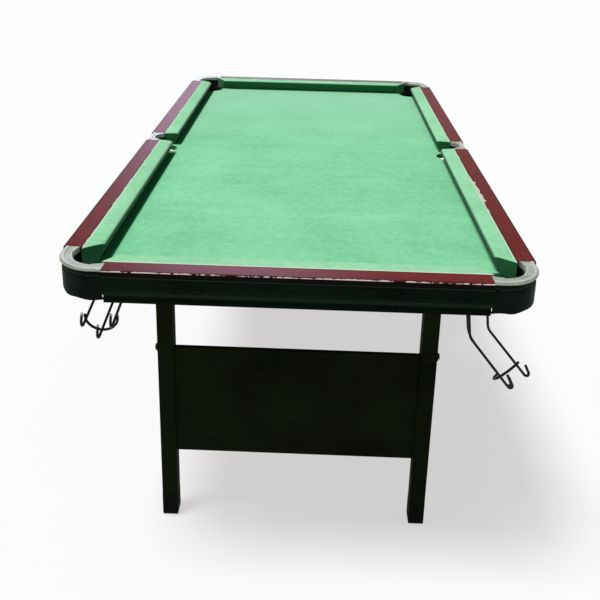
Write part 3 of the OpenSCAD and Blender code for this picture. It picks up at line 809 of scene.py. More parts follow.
class Finishes:
    """All the finishes of the table."""

    def __init__(self) -> None:
        """Makes each finish once."""
        self.cloth = Cloth().make()
        self.cushion = CushionCloth().make()
        self.side_wood = Mahogany("mahogany_along", Grain.ALONG_TABLE).make()
        self.end_wood = Mahogany("mahogany_across", Grain.ACROSS_TABLE).make()
        # The far rail's copy has a strong sheen, a painted reflection that stands in for the
        # glare on it.
        self.far_wood = Mahogany("mahogany_far_end", Grain.ACROSS_TABLE, glare_sheen=1.0).make()
        self.paint = PaintedBoard().make()
        self.leg_paint = PaintedBoard("brown_black_paint", srgb(7, 13, 4), srgb(22, 29, 13),
                                      painted_light_bands=()).make()
        self.silver = SilverCasting().make()
        self.vinyl = CoverVinyl("black_grained_vinyl", srgb(5, 12, 8), srgb(14, 24, 17), 0.44,
                                cloud=26.0, fine=700.0, level=0.030, relief=0.0004).make()
        self.liner = PlainFinish("black_pocket_plastic", srgb(8, 12, 10), srgb(22, 28, 24), 0.5,
                                 level=0.06).make()
        self.rubber = PlainFinish("black_rubber", srgb(6, 8, 5), srgb(17, 20, 13), 0.62,
                                  level=0.03).make()
        self.wire = PlainFinish("black_coated_wire", srgb(10, 14, 13), srgb(28, 34, 32), 0.35,
                                cloud=60.0, level=0.12).make()
        self.bare_tip = PlainFinish("worn_wire_tip", srgb(150, 148, 138), srgb(214, 210, 196),
                                    0.45, cloud=200.0, metallic=0.3).make()
        self.steel = PlainFinish("zinc_steel", srgb(120, 124, 126), srgb(176, 180, 180), 0.32,
                                 cloud=90.0, metallic=1.0).make()
        self.dark_steel = PlainFinish("blackened_steel", srgb(16, 18, 18), srgb(38, 41, 41),
                                      0.45, cloud=90.0, metallic=0.4, level=0.1).make()
        raw = (srgb(134, 100, 64), srgb(176, 140, 98), 0.85, 14.0, 500.0)
        self.board = PlainFinish("raw_fibreboard", *raw, level=0.2, relief=0.0003).make()
        self.bed = BedBoard("fibreboard_with_dark_edges", *raw, level=0.1,
                            relief=0.0003).make()


def finish_piece(name: str, bm: bmesh.types.BMesh, materials: list[bpy.types.Material],
                 smooth: float = 40.0) -> bpy.types.Object:
    """Turns a bmesh into a finished object at the origin.

    Args:
        name: Name of the piece.
        bm: The mesh, which is freed.
        materials: Finishes of its slots.
        smooth: Angle in degrees under which two faces shade as one.

    Returns:
        The object.
    """
    mesh = bpy.data.meshes.new(name)
    for face in bm.faces:
        face.smooth = True
    limit = math.radians(smooth)
    for edge in bm.edges:
        edge.smooth = len(edge.link_faces) == 2 and edge.calc_face_angle(0.0) < limit
    bm.to_mesh(mesh)
    bm.free()
    for material in materials:
        mesh.materials.append(material)
    piece = bpy.data.objects.new(name, mesh)
    bpy.context.scene.collection.objects.link(piece)
    log.info("%s: %d faces", name, len(mesh.polygons))
    return piece


def extrude_run(bm: bmesh.types.BMesh, edges: list[bmesh.types.BMEdge], way: Vector,
                steps: int) -> list[bmesh.types.BMEdge]:
    """Extrudes an outline in equal steps.

    Args:
        bm: The mesh.
        edges: The outline's edges.
        way: Whole distance.
        steps: Number of steps.

    Returns:
        The outline's edges at the end.
    """
    for _ in range(steps):
        new = bmesh.ops.extrude_edge_only(bm, edges=edges)["geom"]
        verts = [v for v in new if isinstance(v, bmesh.types.BMVert)]
        bmesh.ops.translate(bm, verts=verts, vec=way / steps)
        edges = [e for e in new if isinstance(e, bmesh.types.BMEdge)
                 and all(v in verts for v in e.verts)]
    return edges


def dress(nodes: list[str], material: bpy.types.Material) -> None:
    """Gives CAD nodes a finish.

    Args:
        nodes: Names of the nodes.
        material: The finish.
    """
    for name in nodes:
        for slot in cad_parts[name].material_slots:
            slot.link = "OBJECT"
            slot.material = material
        log.info("%s: dressed in %s", name, material.name)


@dataclass
class BedCloth:
    """The playing cloth, stretched over the bed and down into the pockets.

    Attributes:
        finishes: The table's finishes.
        thickness: Thickness of the cloth.
        fall: How far it reaches down into a pocket.
        tuck: How far it leans into the pocket there.
        width: Width of the flat cloth; not used.
        length: Length of the flat cloth; not used.
        rim_r: Distance from a pocket's middle within which an edge is its rim.
        under: Strip along the rails that the cushions cover.
    """

    finishes: Finishes
    thickness: float = 0.0008
    fall: float = 0.0146
    tuck: float = 0.0009
    width: float = 0.9354
    length: float = 1.8454
    rim_r: float = 0.0505
    under: float = 0.0012

    def build(self) -> bpy.types.Object:
        """Returns:
            The cloth.
        """
        bm = bmesh.new()
        bm.from_mesh(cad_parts["bed_cloth"].data)
        bmesh.ops.remove_doubles(bm, verts=bm.verts, dist=1e-6)
        below = [f for f in bm.faces if f.normal.z < 0.5]
        bmesh.ops.delete(bm, geom=below, context="FACES")
        rim = [e for e in bm.edges if e.is_boundary and self.at_pocket(e)]
        fold = bmesh.ops.extrude_edge_only(bm, edges=rim)["geom"]
        for vert in [v for v in fold if isinstance(v, bmesh.types.BMVert)]:
            vert.co += self.inwards(vert.co) * self.tuck
            vert.co.z -= self.fall
        bmesh.ops.recalc_face_normals(bm, faces=bm.faces)
        if sum(f.normal.z for f in bm.faces) < 0:
            bmesh.ops.reverse_faces(bm, faces=bm.faces)
        area = sum(f.calc_area() for f in bm.faces)
        piece = finish_piece("bed_cloth_sheet", bm, [self.finishes.cloth])
        wall = piece.modifiers.new("thickness", "SOLIDIFY")
        wall.thickness = self.thickness
        wall.offset = -1.0
        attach(piece, "table_top")
        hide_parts("bed_cloth")
        return piece

    def centre(self, place: Vector) -> Vector:
        """The middle of the pocket nearest to a place on the cloth.

        Args:
            place: The place.

        Returns:
            The pocket's middle at that height.
        """
        middle = abs(place.y) < LINES.nose_y / 2
        x, y = LINES.middle_pocket if middle else LINES.corner_pocket
        return Vector((math.copysign(x, place.x), math.copysign(y, place.y), place.z))

    def inwards(self, place: Vector) -> Vector:
        """Direction from a rim point to the middle of its pocket."""
        return (self.centre(place) - place).normalized()

    def at_pocket(self, edge: bmesh.types.BMEdge) -> bool:
        """Whether an edge lies on the rim of a pocket and not along a rail.

        Args:
            edge: The edge.

        Returns:
            Whether it does.
        """
        middle = (edge.verts[0].co + edge.verts[1].co) / 2
        near = (middle - self.centre(middle)).length < self.rim_r
        return (near and abs(middle.x) < LINES.back_x - self.under
                and abs(middle.y) < LINES.back_y - self.under)


@dataclass
class Cushions:
    """Rubber cushions in their cloth, with cut jaws at the pockets.

    Attributes:
        finishes: The table's finishes.
        width: Width from nose to back.
        nose_h: Height of the nose above the cloth.
        rise: Height of the back above the cloth.
        jaw_in: How far the nose ends before a corner pocket's lines.
        jaw_run: How much longer the back is than the nose there.
        mid_nose: Where the nose starts beside a middle pocket.
        mid_run: How much longer the back is than the nose there.
        soft_edge: Rounding of the edges.
        spare: Length that the jaws cut away.
        sharp: Angle in degrees from which an edge is rounded.
    """

    finishes: Finishes
    width: float = 0.044
    nose_h: float = 0.031
    rise: float = 0.039
    jaw_in: float = 0.049
    jaw_run: float = 0.033
    mid_nose: float = 0.045
    mid_run: float = 0.009
    soft_edge: float = 0.0016
    spare: float = 0.01
    sharp: float = 40.0

    def section(self) -> list[tuple[float, float]]:
        """Outline of a cushion.

        Returns:
            Its points, counted from the nose outwards and up from the cloth.
        """
        nose = self.nose_h
        return [
            (self.width, 0.0), (self.width * 0.34, 0.0), (self.width * 0.07, nose - 0.004),
            (0.0006, nose - 0.0016), (0.0, nose), (0.0004, nose + 0.0022),
            (0.0016, nose + 0.0042), (0.0038, nose + 0.0059), (0.0068, nose + 0.0071),
            (0.0110, nose + 0.0077), (self.width * 0.6, self.rise - 0.0001),
            (self.width, self.rise),
        ]

    def strip(self, name: str, start: float, start_run: float, end: float, end_run: float,
              place: Matrix) -> bpy.types.Object:
        """Makes one cushion.

        Args:
            name: Name of the CAD node that it stands for.
            start: Where the nose starts along the cushion.
            start_run: How far the back lies before the nose at the start.
            end: Where the nose ends.
            end_run: How far the back lies past the nose at the end.
            place: Turns the cushion's own frame into the table's.

        Returns:
            The cushion.
        """
        bm = bmesh.new()
        first = start - start_run - self.spare
        ring = [bm.verts.new((u, first, z)) for u, z in self.section()]
        face = bm.faces.new(ring)
        swept = bmesh.ops.extrude_face_region(bm, geom=[face])["geom"]
        tops = [v for v in swept if isinstance(v, bmesh.types.BMVert)]
        reach = end + end_run + self.spare - first
        bmesh.ops.translate(bm, verts=tops, vec=(0.0, reach, 0.0))
        self.cut_jaw(bm, Vector((0.0, end, 0.0)), Vector((-end_run, self.width, 0.0)))
        self.cut_jaw(bm, Vector((0.0, start, 0.0)), Vector((-start_run, -self.width, 0.0)))
        bmesh.ops.recalc_face_normals(bm, faces=bm.faces)
        sharp = [e for e in bm.edges if e.calc_face_angle(0.0) > math.radians(self.sharp)]
        bmesh.ops.bevel(bm, geom=sharp, offset=self.soft_edge, offset_type="OFFSET",
                        affect="EDGES", segments=3, profile=0.5, material=-1)
        bmesh.ops.transform(bm, matrix=place, verts=bm.verts)
        bmesh.ops.recalc_face_normals(bm, faces=bm.faces)
        piece = finish_piece(f"{name}_covered", bm, [self.finishes.cushion])
        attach(piece, "table_top")
        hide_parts(name)
        return piece

    def cut_jaw(self, bm: bmesh.types.BMesh, point: Vector, normal: Vector) -> None:
        """Cuts one end to its jaw and closes it with cloth.

        Args:
            bm: The cushion.
            point: A point of the jaw.
            normal: Direction that is cut away.
        """
        cut = bmesh.ops.bisect_plane(bm, geom=bm.verts[:] + bm.edges[:] + bm.faces[:],
                                     plane_co=point, plane_no=normal.normalized(),
                                     clear_outer=True, dist=1e-7)["geom_cut"]
        edges = [e for e in cut if isinstance(e, bmesh.types.BMEdge)]
        bmesh.ops.edgeloop_fill(bm, edges=edges)

    def build(self) -> None:
        """Makes the six cushions."""
        up = Matrix.Translation((0.0, 0.0, LINES.cloth_top))
        for side in Side:
            for end in End:
                name = f"cushion_{side.name.lower()}_{end.name.lower()}"
                flip = Matrix.Diagonal((side.value, end.value, 1.0, 1.0))
                place = up @ flip @ Matrix.Translation((LINES.nose_x, 0.0, 0.0))
                self.strip(name, self.mid_nose, self.mid_run, LINES.nose_y - self.jaw_in,
                           self.jaw_run, place)
        reach = LINES.nose_x - self.jaw_in
        for end in End:
            flip = Matrix.Diagonal((1.0, end.value, 1.0, 1.0))
            place = up @ flip @ Matrix.Translation((0.0, LINES.nose_y, 0.0)) @ SWAP_XY
            self.strip(f"cushion_{end.name.lower()}_end", -reach, self.jaw_run, reach,
                       self.jaw_run, place)


@dataclass
class CornerCovers:
    """Grained vinyl corner covers with a gathered top band and a turned-in hem.

    Attributes:
        finishes: The table's finishes.
        outer: Radius of the curve's outside.
        top: Height of the upper edge.
        low: Height of the hem.
        bottom_r: Radius of the fold into the hem.
        wall: Thickness of the vinyl.
        pucker: Depth of the puckers.
        pitch: Distance between two puckers.
        seam: Gap between the cover and the apron.
        band_drop: How far the puckers' deepest point lies below the upper edge.
        band_h: Height over which the puckers fade.
        slack: Depth of the loose spots.
        hem_wave: Half the height of the hem's waves.
        hem_drop: How far below the upper edge the hem's waves begin.
        stray_k: How fast the puckers' spacing strays, in radians per metre.
        slack_k: How fast the loose spots follow each other, in radians per metre.
        hem_k: How fast the hem waves, in radians per metre.
        arm_steps: Steps along a straight arm.
        turn_steps: Steps round the curve.
    """

    finishes: Finishes
    outer: float = 0.079
    top: float = 0.7997
    low: float = 0.730
    bottom_r: float = 0.007
    wall: float = 0.0015
    pucker: float = 0.0006
    pitch: float = 0.0078
    seam: float = 0.0003
    band_drop: float = 0.0115
    band_h: float = 0.0085
    slack: float = 0.0004
    hem_wave: float = 0.0013
    hem_drop: float = 0.045
    stray_k: float = 190.0
    slack_k: float = 74.0
    hem_k: float = 105.0
    arm_steps: int = 18
    turn_steps: int = 96

    def profile(self) -> list[tuple[float, float]]:
        """Outline of the cover's outside.

        Returns:
            Distance from the corner point and height, from the top edge down to the hem.
        """
        top, low, out, turn = self.top, self.low, self.outer, self.bottom_r
        wall = [
            (out - 0.0018, top), (out - 0.0006, top - 0.0012), (out - 0.0002, top - 0.0040),
            (out - 0.0004, top - 0.0075), (out - 0.0013, top - 0.0100),
            (out - 0.0017, top - 0.0115), (out - 0.0012, top - 0.0130),
            (out - 0.0004, top - 0.0160), (out - 0.0001, top - 0.0220),
            (out, top - 0.0320), (out, top - 0.0420), (out - 0.0001, top - 0.0520),
        ]
        for step in range(7):
            angle = math.radians(15 * step)
            wall.append((out - turn + turn * math.cos(angle),
                         low + turn - turn * math.sin(angle)))
        return wall + [(out - 0.0100, low + 0.0002), (out - 0.0130, low + 0.0004)]

    def frame_at(self, place: Vector) -> tuple[Vector, float]:
        """Outward direction and way along the cover at a place.

        Args:
            place: A point of the cover, from the corner point.

        Returns:
            The direction and the distance along the cover.
        """
        if place.y <= 0:
            return Vector((1.0, 0.0, 0.0)), place.y
        if place.x <= 0:
            return Vector((0.0, 1.0, 0.0)), self.outer * math.pi / 2 - place.x
        angle = math.atan2(place.y, place.x)
        return Vector((math.cos(angle), math.sin(angle), 0.0)), self.outer * angle

    def gather(self, bm: bmesh.types.BMesh, phase: float) -> None:
        """Puckers the top band and lets the hem wave.

        Args:
            bm: The cover's skin.
            phase: Shift that makes each corner differ.
        """
        for vert in bm.verts:
            out, way = self.frame_at(vert.co)
            drop = self.top - vert.co.z
            wave = math.sin(2 * math.pi * (way / self.pitch + phase)
                            + 1.7 * math.sin(way * self.stray_k + phase * 5))
            band = math.exp(-((drop - self.band_drop) / self.band_h) ** 2)
            loose = abs(math.sin(way * self.slack_k + phase * 9)) * min(1.0, drop / 0.03)
            slack = loose * self.slack
            vert.co += out * (wave * band * self.pucker * 0.8 - band * self.pucker - slack)
            share = max(0.0, (drop - self.hem_drop) / (self.top - self.low - self.hem_drop))
            vert.co.z += self.hem_wave * (1 + math.sin(way * self.hem_k + phase * 4)) * share

    def corner(self, side: Side, end: End) -> bpy.types.Object:
        """Makes one cover.

        Args:
            side: Its side.
            end: Its end.

        Returns:
            The cover.
        """
        bm = bmesh.new()
        arm = LINES.corner_arm - self.seam
        ring = [bm.verts.new((r, -arm, z)) for r, z in self.profile()]
        edges = [bm.edges.new(pair) for pair in zip(ring, ring[1:])]
        edges = extrude_run(bm, edges, Vector((0.0, arm, 0.0)), self.arm_steps)
        spun = bmesh.ops.spin(bm, geom=edges + list({v for e in edges for v in e.verts}),
                              cent=(0, 0, 0), axis=(0, 0, 1), angle=math.pi / 2,
                              steps=self.turn_steps, use_duplicate=False)["geom_last"]
        edges = [e for e in spun if isinstance(e, bmesh.types.BMEdge)]
        extrude_run(bm, edges, Vector((-arm, 0.0, 0.0)), self.arm_steps)
        self.gather(bm, 0.31 * side.value + 0.17 * end.value)
        place = Matrix.Diagonal((side.value, end.value, 1.0, 1.0)) @ Matrix.Translation(
            (LINES.nose_x, LINES.nose_y, 0.0))
        bmesh.ops.transform(bm, matrix=place, verts=bm.verts)
        bmesh.ops.recalc_face_normals(bm, faces=bm.faces)
        self.face_out(bm, place.translation)
        name = f"cover_{end.name.lower()}_{side.name.lower()}"
        piece = finish_piece(f"{name}_vinyl", bm, [self.finishes.vinyl], 60.0)
        wall = piece.modifiers.new("wall", "SOLIDIFY")
        wall.thickness = self.wall
        wall.offset = -1.0
        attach(piece, "table_top")
        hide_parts(name)
        return piece

    @staticmethod
    def face_out(bm: bmesh.types.BMesh, middle: Vector) -> None:
        """Turns the skin's faces away from the corner point if they face it.

        Args:
            bm: The cover's skin.
            middle: The corner point.
        """
        lean = sum((f.calc_center_median() - middle).xy.dot(f.normal.xy) for f in bm.faces)
        if lean < 0:
            bmesh.ops.reverse_faces(bm, faces=bm.faces)

    def build(self) -> None:
        """Makes the four covers."""
        for side in Side:
            for end in End:
                self.corner(side, end)


class WireBender:
    """Draws one round wire through straights and bends, as a bending jig does.

    Attributes:
        STEP_L: Length of each of the two steps that round an end over.
        ROUND_L: Length of the whole rounding.
        STEP_TURN: Degrees of a bend's steps.
    """

    STEP_L = 0.0006
    ROUND_L = 2 * STEP_L
    STEP_TURN = 9

    def __init__(self, bm: bmesh.types.BMesh, place: Matrix, diameter: float,
                 sides: int = 12) -> None:
        """Sets the wire's first end.

        Args:
            bm: Mesh that takes the wire.
            place: Frame whose X is the wire's direction and Z the axis of its bends.
            diameter: Diameter of the wire.
            sides: Number of sides round the wire.
        """
        self.bm = bm
        self.place = place
        turn = Matrix.Rotation(math.pi / 2, 4, "Y")
        verts = bmesh.ops.create_circle(bm, cap_ends=True, segments=sides,
                                        radius=diameter / 2, matrix=place @ turn)["verts"]
        self.front = list({e for v in verts for e in v.link_edges})

    def straight(self, length: float) -> None:
        """Feeds the wire straight on.

        Args:
            length: Length that is fed.
        """
        way = self.place.to_3x3() @ Vector((length, 0.0, 0.0))
        self.front = extrude_run(self.bm, self.front, way, 1)
        self.place = Matrix.Translation(way) @ self.place

    def bend(self, degrees: float, radius: float) -> None:
        """Bends the wire to its left.

        Args:
            degrees: Turn of the bend.
            radius: Radius of the bend.
        """
        axis = self.place.to_3x3() @ Vector((0.0, 0.0, 1.0))
        centre = self.place @ Vector((0.0, radius, 0.0))
        verts = list({v for e in self.front for v in e.verts})
        steps = max(3, round(degrees / self.STEP_TURN))
        last = bmesh.ops.spin(self.bm, geom=verts + self.front, cent=centre, axis=axis,
                              angle=math.radians(degrees), steps=steps,
                              use_duplicate=False)["geom_last"]
        self.front = [e for e in last if isinstance(e, bmesh.types.BMEdge)]
        turn = Matrix.Rotation(math.radians(degrees), 4, axis)
        self.place = (Matrix.Translation(centre) @ turn @ Matrix.Translation(-centre)
                      @ self.place)

    def close(self, tip: float = 0.0) -> None:
        """Rounds the last end over, after a stretch in the second finish.

        Args:
            tip: Length of the stretch whose coat has worn off.
        """
        before = set(self.bm.faces)
        if tip:
            self.straight(tip)
        for scale in (0.8, 0.4):
            self.straight(self.STEP_L)
            verts = list({v for e in self.front for v in e.verts})
            middle = sum((v.co for v in verts), Vector()) / len(verts)
            bmesh.ops.scale(self.bm, verts=verts, vec=(scale, scale, scale),
                            space=Matrix.Translation(-middle))
        bmesh.ops.edgeloop_fill(self.bm, edges=self.front)
        if tip:
            for face in set(self.bm.faces) - before:
                face.material_index = 1


@dataclass(frozen=True)
class Bar:
    """A ball rail's hinge bar, and what its wires do.

    Attributes:
        name: Name of the rail.
        x: Place of the bar's middle across the table.
        y: Place of the bar's middle along the table.
        heading: Degrees from X to the run.
        lift: Degrees that the rail is lifted.
        knee: Place of the knees, forward and up from the bar.
        hook: Turn of the hooks in degrees, their radius and how far they start short.
        high: Whether the middle hoop sits above the knees.
        bare: Whether the coat has worn off the tips.
    """

    name: str
    x: float
    y: float
    heading: float
    lift: float
    knee: tuple[float, float] = (0.0, -0.070)
    hook: tuple[float, float, float] = (125.0, 0.012, 0.02305)
    high: bool = False
    bare: bool = True


@dataclass
class BallRails:
    """Wire troughs that hang under the pockets from their hinge bars.

    Attributes:
        finishes: The table's finishes.
        wire: Diameter of the wire.
        trough_r: Distance from the trough's middle to a wire.
        bar_l: Length of the hinge bar.
        reach: How far a hook's end lies forward of the bar.
        depth: How far it lies below the bar.
        bend_r: Radius of the knees.
        hook_tip: Straight end of a hook.
        middle_top: How far the middle wire starts below the bar.
        hoop_back: How far the last hoop lies before the hooks.
        high_hoop: How far a high middle hoop lies above the knee.
        hoop_start: Angle in degrees at which a hoop starts.
        hoop_turn: Degrees that a hoop covers.
        weld: Distance between the middles of two welded wires, in diameters.
        bar_z: Height of the hinge bars.
        worn: Length of the bare tips.
        bars: The six hinge bars.
    """

    finishes: Finishes
    wire: float = 0.006
    trough_r: float = 0.031
    bar_l: float = 0.099
    reach: float = 0.13585
    depth: float = 0.18809
    bend_r: float = 0.018
    hook_tip: float = 0.016
    middle_top: float = 0.014
    hoop_back: float = 0.026
    high_hoop: float = 0.072
    hoop_start: float = 172.0
    hoop_turn: float = 196.0
    weld: float = 0.75
    bar_z: float = 0.74494
    worn: float = 0.004
    bars: tuple[Bar, ...] = (
        Bar("near_left", -0.422, -0.735, -90.0, 31.0),
        Bar("near_right", 0.39279, -0.837271, -50.0, 0.0, (0.018, -0.118),
            (158.0, 0.0075, 0.016), True, False),
        Bar("middle_left", -0.441, 0.149, -90.0, 31.0),
        Bar("middle_right", 0.441, 0.149, -90.0, 31.0),
        Bar("far_left", -0.422, 0.735, 90.0, 31.0),
        Bar("far_right", 0.422, 0.735, 90.0, 31.0),
    )

    def rail(self, bar: Bar) -> bpy.types.Object:
        """Bends and welds one ball rail.

        Args:
            bar: Its hinge bar.

        Returns:
            The rail.
        """
        bm = bmesh.new()
        knee = Vector(bar.knee)
        below = Vector((self.reach, -self.depth)) - knee
        lean, slope = math.atan2(knee.x, -knee.y), math.atan2(-below.y, below.x)
        turn = 90.0 - math.degrees(slope + lean)
        bend_in = self.bend_r * math.tan(math.radians(turn / 2))
        drop, run = knee.length - bend_in, below.length - bend_in - bar.hook[2]
        down = HANGING @ Matrix.Rotation(lean, 4, "Z")
        for side in Side:
            start = Matrix.Translation((0.0, side.value * self.trough_r, 0.0)) @ down
            at_run = self.feed_wire(bm, start, drop, turn, self.bend_r, run, bar.hook)
        start = down @ Matrix.Translation((self.middle_top, -self.trough_r, 0.0))
        self.feed_wire(bm, start, drop - self.middle_top, turn, self.bend_r + self.trough_r,
                       run, bar.hook)
        at_run.translation.y = 0.0
        self.hoop(bm, down @ Matrix.Translation((self.middle_top + self.wire, 0.0, 0.0)))
        self.hoop(bm, at_run @ Matrix.Translation((run - self.hoop_back, 0.0, 0.0)))
        middle = (down @ Matrix.Translation((drop - self.high_hoop, 0.0, 0.0)) if bar.high
                  else at_run @ Matrix.Translation((self.wire, 0.0, 0.0)))
        self.hoop(bm, middle)
        self.hinge_bar(bm)
        lift = Matrix.Rotation(-math.radians(bar.lift), 4, "Y")
        place = (Matrix.Translation((bar.x, bar.y, self.bar_z))
                 @ Matrix.Rotation(math.radians(bar.heading), 4, "Z") @ lift)
        bmesh.ops.transform(bm, matrix=place, verts=bm.verts)
        bmesh.ops.recalc_face_normals(bm, faces=bm.faces)
        name = f"ball_rail_{bar.name}"
        tip = self.finishes.bare_tip if bar.bare else self.finishes.wire
        piece = finish_piece(f"{name}_wires", bm, [self.finishes.wire, tip])
        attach(piece, f"{name}_body")
        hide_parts(name)
        return piece

    def feed_wire(self, bm: bmesh.types.BMesh, start: Matrix, drop: float, turn: float,
                  radius: float, run: float, hook: tuple[float, float, float]) -> Matrix:
        """Bends one wire: straight down, round to the run, and up at its hook.

        Args:
            bm: The rail.
            start: Frame at the wire's upper end.
            drop: Straight length down to the bend.
            turn: Degrees of the bend.
            radius: Radius of the bend.
            run: Straight length after the bend.
            hook: Turn and radius of its hook, and how far it starts short.

        Returns:
            The frame where the run starts.
        """
        bender = WireBender(bm, start, self.wire)
        bender.straight(drop)
        bender.bend(turn, radius)
        at_run = bender.place.copy()
        bender.straight(run)
        bender.bend(*hook[:2])
        bender.straight(self.hook_tip - self.worn - bender.ROUND_L)
        bender.close(self.worn)
        return at_run

    def hoop(self, bm: bmesh.types.BMesh, centre: Matrix) -> None:
        """Adds a hoop under the wires.

        Args:
            bm: The rail.
            centre: Middle of the upper wires, X along the run.
        """
        radius = self.trough_r + self.wire * self.weld
        start = (centre @ ROUND_TROUGH @ Matrix.Rotation(math.radians(self.hoop_start), 4, "Z")
                 @ Matrix.Translation((radius, 0.0, 0.0)))
        bender = WireBender(bm, start @ Matrix.Rotation(math.pi / 2, 4, "Z"), self.wire)
        bender.bend(self.hoop_turn, radius)
        bender.close()

    def hinge_bar(self, bm: bmesh.types.BMesh) -> None:
        """Adds the bar that turns in the clips.

        Args:
            bm: The rail.
        """
        start = Matrix.Rotation(math.pi / 2, 4, "Z") @ Matrix.Translation(
            (-self.bar_l / 2, 0.0, 0.0))
        bender = WireBender(bm, start, self.wire, 16)
        bender.straight(self.bar_l - bender.ROUND_L)
        bender.close()

    def build(self) -> None:
        """Makes the six ball rails."""
        for bar in self.bars:
            self.rail(bar)


@dataclass
class Woodwork:
    """Boards, rails and other solids that keep their CAD shape.

    Attributes:
        finishes: The table's finishes.
    """

    finishes: Finishes

    def build(self) -> None:
        """Dresses the CAD nodes."""
        paint = self.finishes.paint
        dress(["rail_near_end"], self.finishes.end_wood)
        dress(["rail_far_end"], self.finishes.far_wood)
        dress(["rail_left_near", "rail_left_far", "rail_right_near", "rail_right_far"],
              self.finishes.side_wood)
        dress(["bed_board"], self.finishes.bed)
        dress(["bed_battens", "hinge_boards"], self.finishes.board)
        dress(["apron_near_end", "apron_far_end", "apron_left", "apron_right", "leg_stops"],
              paint)
        dress([f"casting_{end}_{side}" for end in ("near", "far", "middle")
               for side in ("left", "right")], self.finishes.silver)
        for end in ("near", "far"):
            dress([f"leg_{end}_left", f"leg_{end}_right", f"panel_{end}", f"stretcher_{end}"],
                  self.finishes.leg_paint)
            dress([f"feet_{end}"], self.finishes.rubber)
            dress([f"pins_{end}", f"stay_{end}_left", f"stay_{end}_right"],
                  self.finishes.dark_steel)
        dress(["pocket_liners", "rail_liners"], self.finishes.liner)
        dress(["leg_hinges", "wood_screws", "stay_brackets"], self.finishes.steel)
        dress(["rail_clips"], self.finishes.wire)


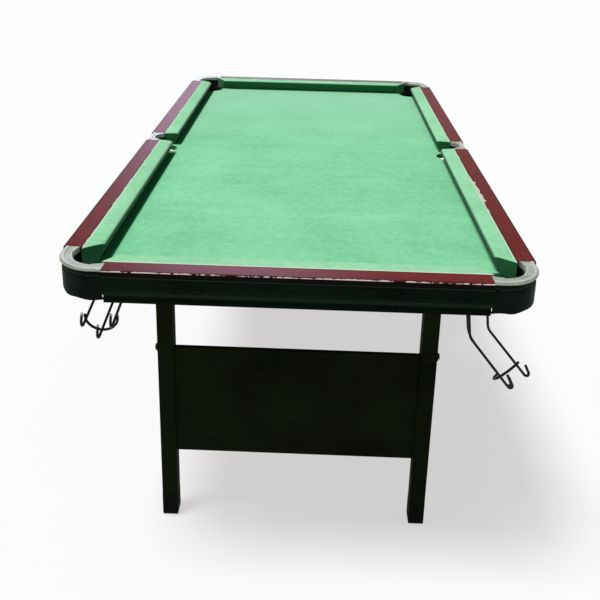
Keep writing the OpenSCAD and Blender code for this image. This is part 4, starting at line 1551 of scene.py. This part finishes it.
@dataclass
class Studio:
    """Pale floor, soft light and the camera.

    Attributes:
        eye: Place of the camera.
        yaw: How far it looks to the right of the table's length, in radians.
        pitch: How far it looks down.
        roll: How far it leans.
        focal: Focal length in pixels of the picture.
        frame_size: Side of the picture in pixels.
        axis_row: Row of the picture where the camera's axis lies.
        sensor: Width of the sensor in millimetres.
        floor_size: Half the side of the floor.
        floor_gap: How far the floor lies below the feet.
        floor_tone: Share of the light that the floor gives back.
        floor_white: Share of the floor that looks white without any light.
        ambient: Strength of the sky.
        sky: Colour of the sky.
        sun: Strength of the sun.
        sun_at: Place that the sun shines from.
        sun_width: Degrees that the sun covers.
        window: Strength of the window that shines in the rails.
        window_at: Place of the window.
        window_tint: Colour of the window.
        window_size: Width and height of the window.
        aim: Point that the lamps face.
    """

    eye: tuple[float, float, float] = (0.03060, -2.35300, 1.50641)
    yaw: float = -0.0217
    pitch: float = 0.3021
    roll: float = -0.0243
    focal: float = 761.75
    frame_size: float = 600.0
    axis_row: float = 150.0
    sensor: float = 36.0
    floor_size: float = 60.0
    floor_gap: float = 0.0002
    floor_tone: float = 0.97
    floor_white: float = 0.56
    ambient: float = 0.25
    sky: Colour = (0.94, 0.97, 1.0)
    sun: float = 2.48
    sun_at: tuple[float, float, float] = (-1.0, -0.55, 4.2)
    sun_width: float = 16.0
    window: float = 210.0
    window_at: tuple[float, float, float] = (-0.8, 5.0, 3.4)
    window_tint: Colour = (0.62, 0.62, 0.94)
    window_size: tuple[float, float] = (1.8, 2.8)
    aim: tuple[float, float, float] = (0.0, 0.0, 0.8)

    def camera(self) -> None:
        """Sets the camera at the photograph's angle."""
        data = bpy.data.cameras.new("camera")
        data.sensor_width = self.sensor
        data.lens = self.focal / self.frame_size * self.sensor
        data.shift_y = (self.axis_row - self.frame_size / 2) / self.frame_size
        data.clip_end = self.floor_size * 4
        ahead = Vector((math.sin(self.yaw) * math.cos(self.pitch),
                        math.cos(self.yaw) * math.cos(self.pitch), -math.sin(self.pitch)))
        level = Vector((math.cos(self.yaw), -math.sin(self.yaw), 0.0))
        below = ahead.cross(level)
        cos, sin = math.cos(self.roll), math.sin(self.roll)
        right, down = level * cos + below * sin, below * cos - level * sin
        turn = Matrix((right, -down, -ahead)).transposed().to_4x4()
        camera = bpy.data.objects.new("camera", data)
        camera.matrix_world = Matrix.Translation(self.eye) @ turn
        bpy.context.scene.collection.objects.link(camera)
        bpy.context.scene.camera = camera

    @staticmethod
    def seen(tree: bpy.types.NodeTree) -> bpy.types.NodeSocket:
        """Adds a value of 1 for camera, glossy and transmission rays.

        Args:
            tree: Node tree that takes the nodes.

        Returns:
            The value's socket.
        """
        path = tree.nodes.new("ShaderNodeLightPath")
        value = path.outputs["Is Camera Ray"]
        for name in ("Is Glossy Ray", "Is Transmission Ray"):
            node = tree.nodes.new("ShaderNodeMath")
            node.operation = "MAXIMUM"
            tree.links.new(value, node.inputs[0])
            tree.links.new(path.outputs[name], node.inputs[1])
            value = node.outputs[0]
        return value

    @staticmethod
    def join(tree: bpy.types.NodeTree, share: bpy.types.NodeSocket, lit: bpy.types.Node,
             shown: bpy.types.Node, out: str) -> None:
        """Mixes two shaders and gives the result to the tree's output.

        Args:
            tree: Node tree that takes the nodes.
            share: Share of the second shader.
            lit: Shader that the light meets.
            shown: Shader that is seen in its place.
            out: Type of the output node.
        """
        mix = tree.nodes.new("ShaderNodeMixShader")
        for source, target in zip((share, lit.outputs[0], shown.outputs[0]), mix.inputs):
            tree.links.new(source, target)
        tree.links.new(mix.outputs[0], tree.nodes.new(out).inputs["Surface"])

    def world(self) -> None:
        """Sets an even sky that looks white."""
        world = bpy.data.worlds.new("sky")
        world.use_nodes = True
        tree = world.node_tree
        tree.nodes.clear()
        soft = tree.nodes.new("ShaderNodeBackground")
        soft.inputs["Color"].default_value = (*self.sky, 1.0)
        soft.inputs["Strength"].default_value = self.ambient
        white = tree.nodes.new("ShaderNodeBackground")
        white.inputs["Color"].default_value = (1.0, 1.0, 1.0, 1.0)
        self.join(tree, self.seen(tree), soft, white, "ShaderNodeOutputWorld")
        bpy.context.scene.world = world

    def floor(self) -> None:
        """Lays a white floor that keeps the table's shadow."""
        bm = bmesh.new()
        bmesh.ops.create_grid(bm, x_segments=1, y_segments=1, size=self.floor_size)
        bmesh.ops.translate(bm, verts=bm.verts, vec=(0.0, 0.0, -self.floor_gap))
        material = bpy.data.materials.new("white_floor")
        material.use_nodes = True
        tree = material.node_tree
        tree.nodes.clear()
        matt = tree.nodes.new("ShaderNodeBsdfDiffuse")
        matt.inputs["Color"].default_value = (*[self.floor_tone] * 3, 1.0)
        glow = tree.nodes.new("ShaderNodeEmission")
        share = tree.nodes.new("ShaderNodeMath")
        share.operation = "MULTIPLY"
        share.inputs[1].default_value = self.floor_white
        tree.links.new(self.seen(tree), share.inputs[0])
        self.join(tree, share.outputs[0], matt, glow, "ShaderNodeOutputMaterial")
        floor = finish_piece("floor", bm, [material])

    def lamp(self, name: str, kind: str, energy: float, place: tuple[float, float, float],
             **settings: object) -> bpy.types.Object:
        """Adds a lamp that faces the table.

        Args:
            name: Name of the lamp.
            kind: SUN or AREA.
            energy: Its strength.
            place: Where it stands.
            **settings: Other settings of the lamp.

        Returns:
            The lamp.
        """
        data = bpy.data.lights.new(name, kind)
        data.energy = energy
        for key, value in settings.items():
            setattr(data, key, value)
        lamp = bpy.data.objects.new(name, data)
        lamp.location = place
        way = Vector(self.aim) - Vector(place)
        lamp.rotation_euler = way.to_track_quat("-Z", "Y").to_euler()
        bpy.context.scene.collection.objects.link(lamp)
        return lamp

    def build(self) -> None:
        """Sets the camera, the floor and the light."""
        bpy.context.scene.view_settings.view_transform = "Standard"
        self.camera()
        self.world()
        self.floor()
        self.lamp("key", "SUN", self.sun, self.sun_at, angle=math.radians(self.sun_width))
        wide, high = self.window_size
        window = self.lamp("window", "AREA", self.window, self.window_at, shape="RECTANGLE",
                           size=wide, size_y=high, color=self.window_tint)
        window.visible_diffuse = False


def main() -> None:
    """Builds the stage and the table's pieces in order."""
    logging.basicConfig(level=logging.INFO, format="%(name)s: %(message)s")
    Studio().build()
    finishes = Finishes()
    Woodwork(finishes).build()
    BedCloth(finishes).build()
    Cushions(finishes).build()
    CornerCovers(finishes).build()
    BallRails(finishes).build()


if __name__ == "__main__":
    main()
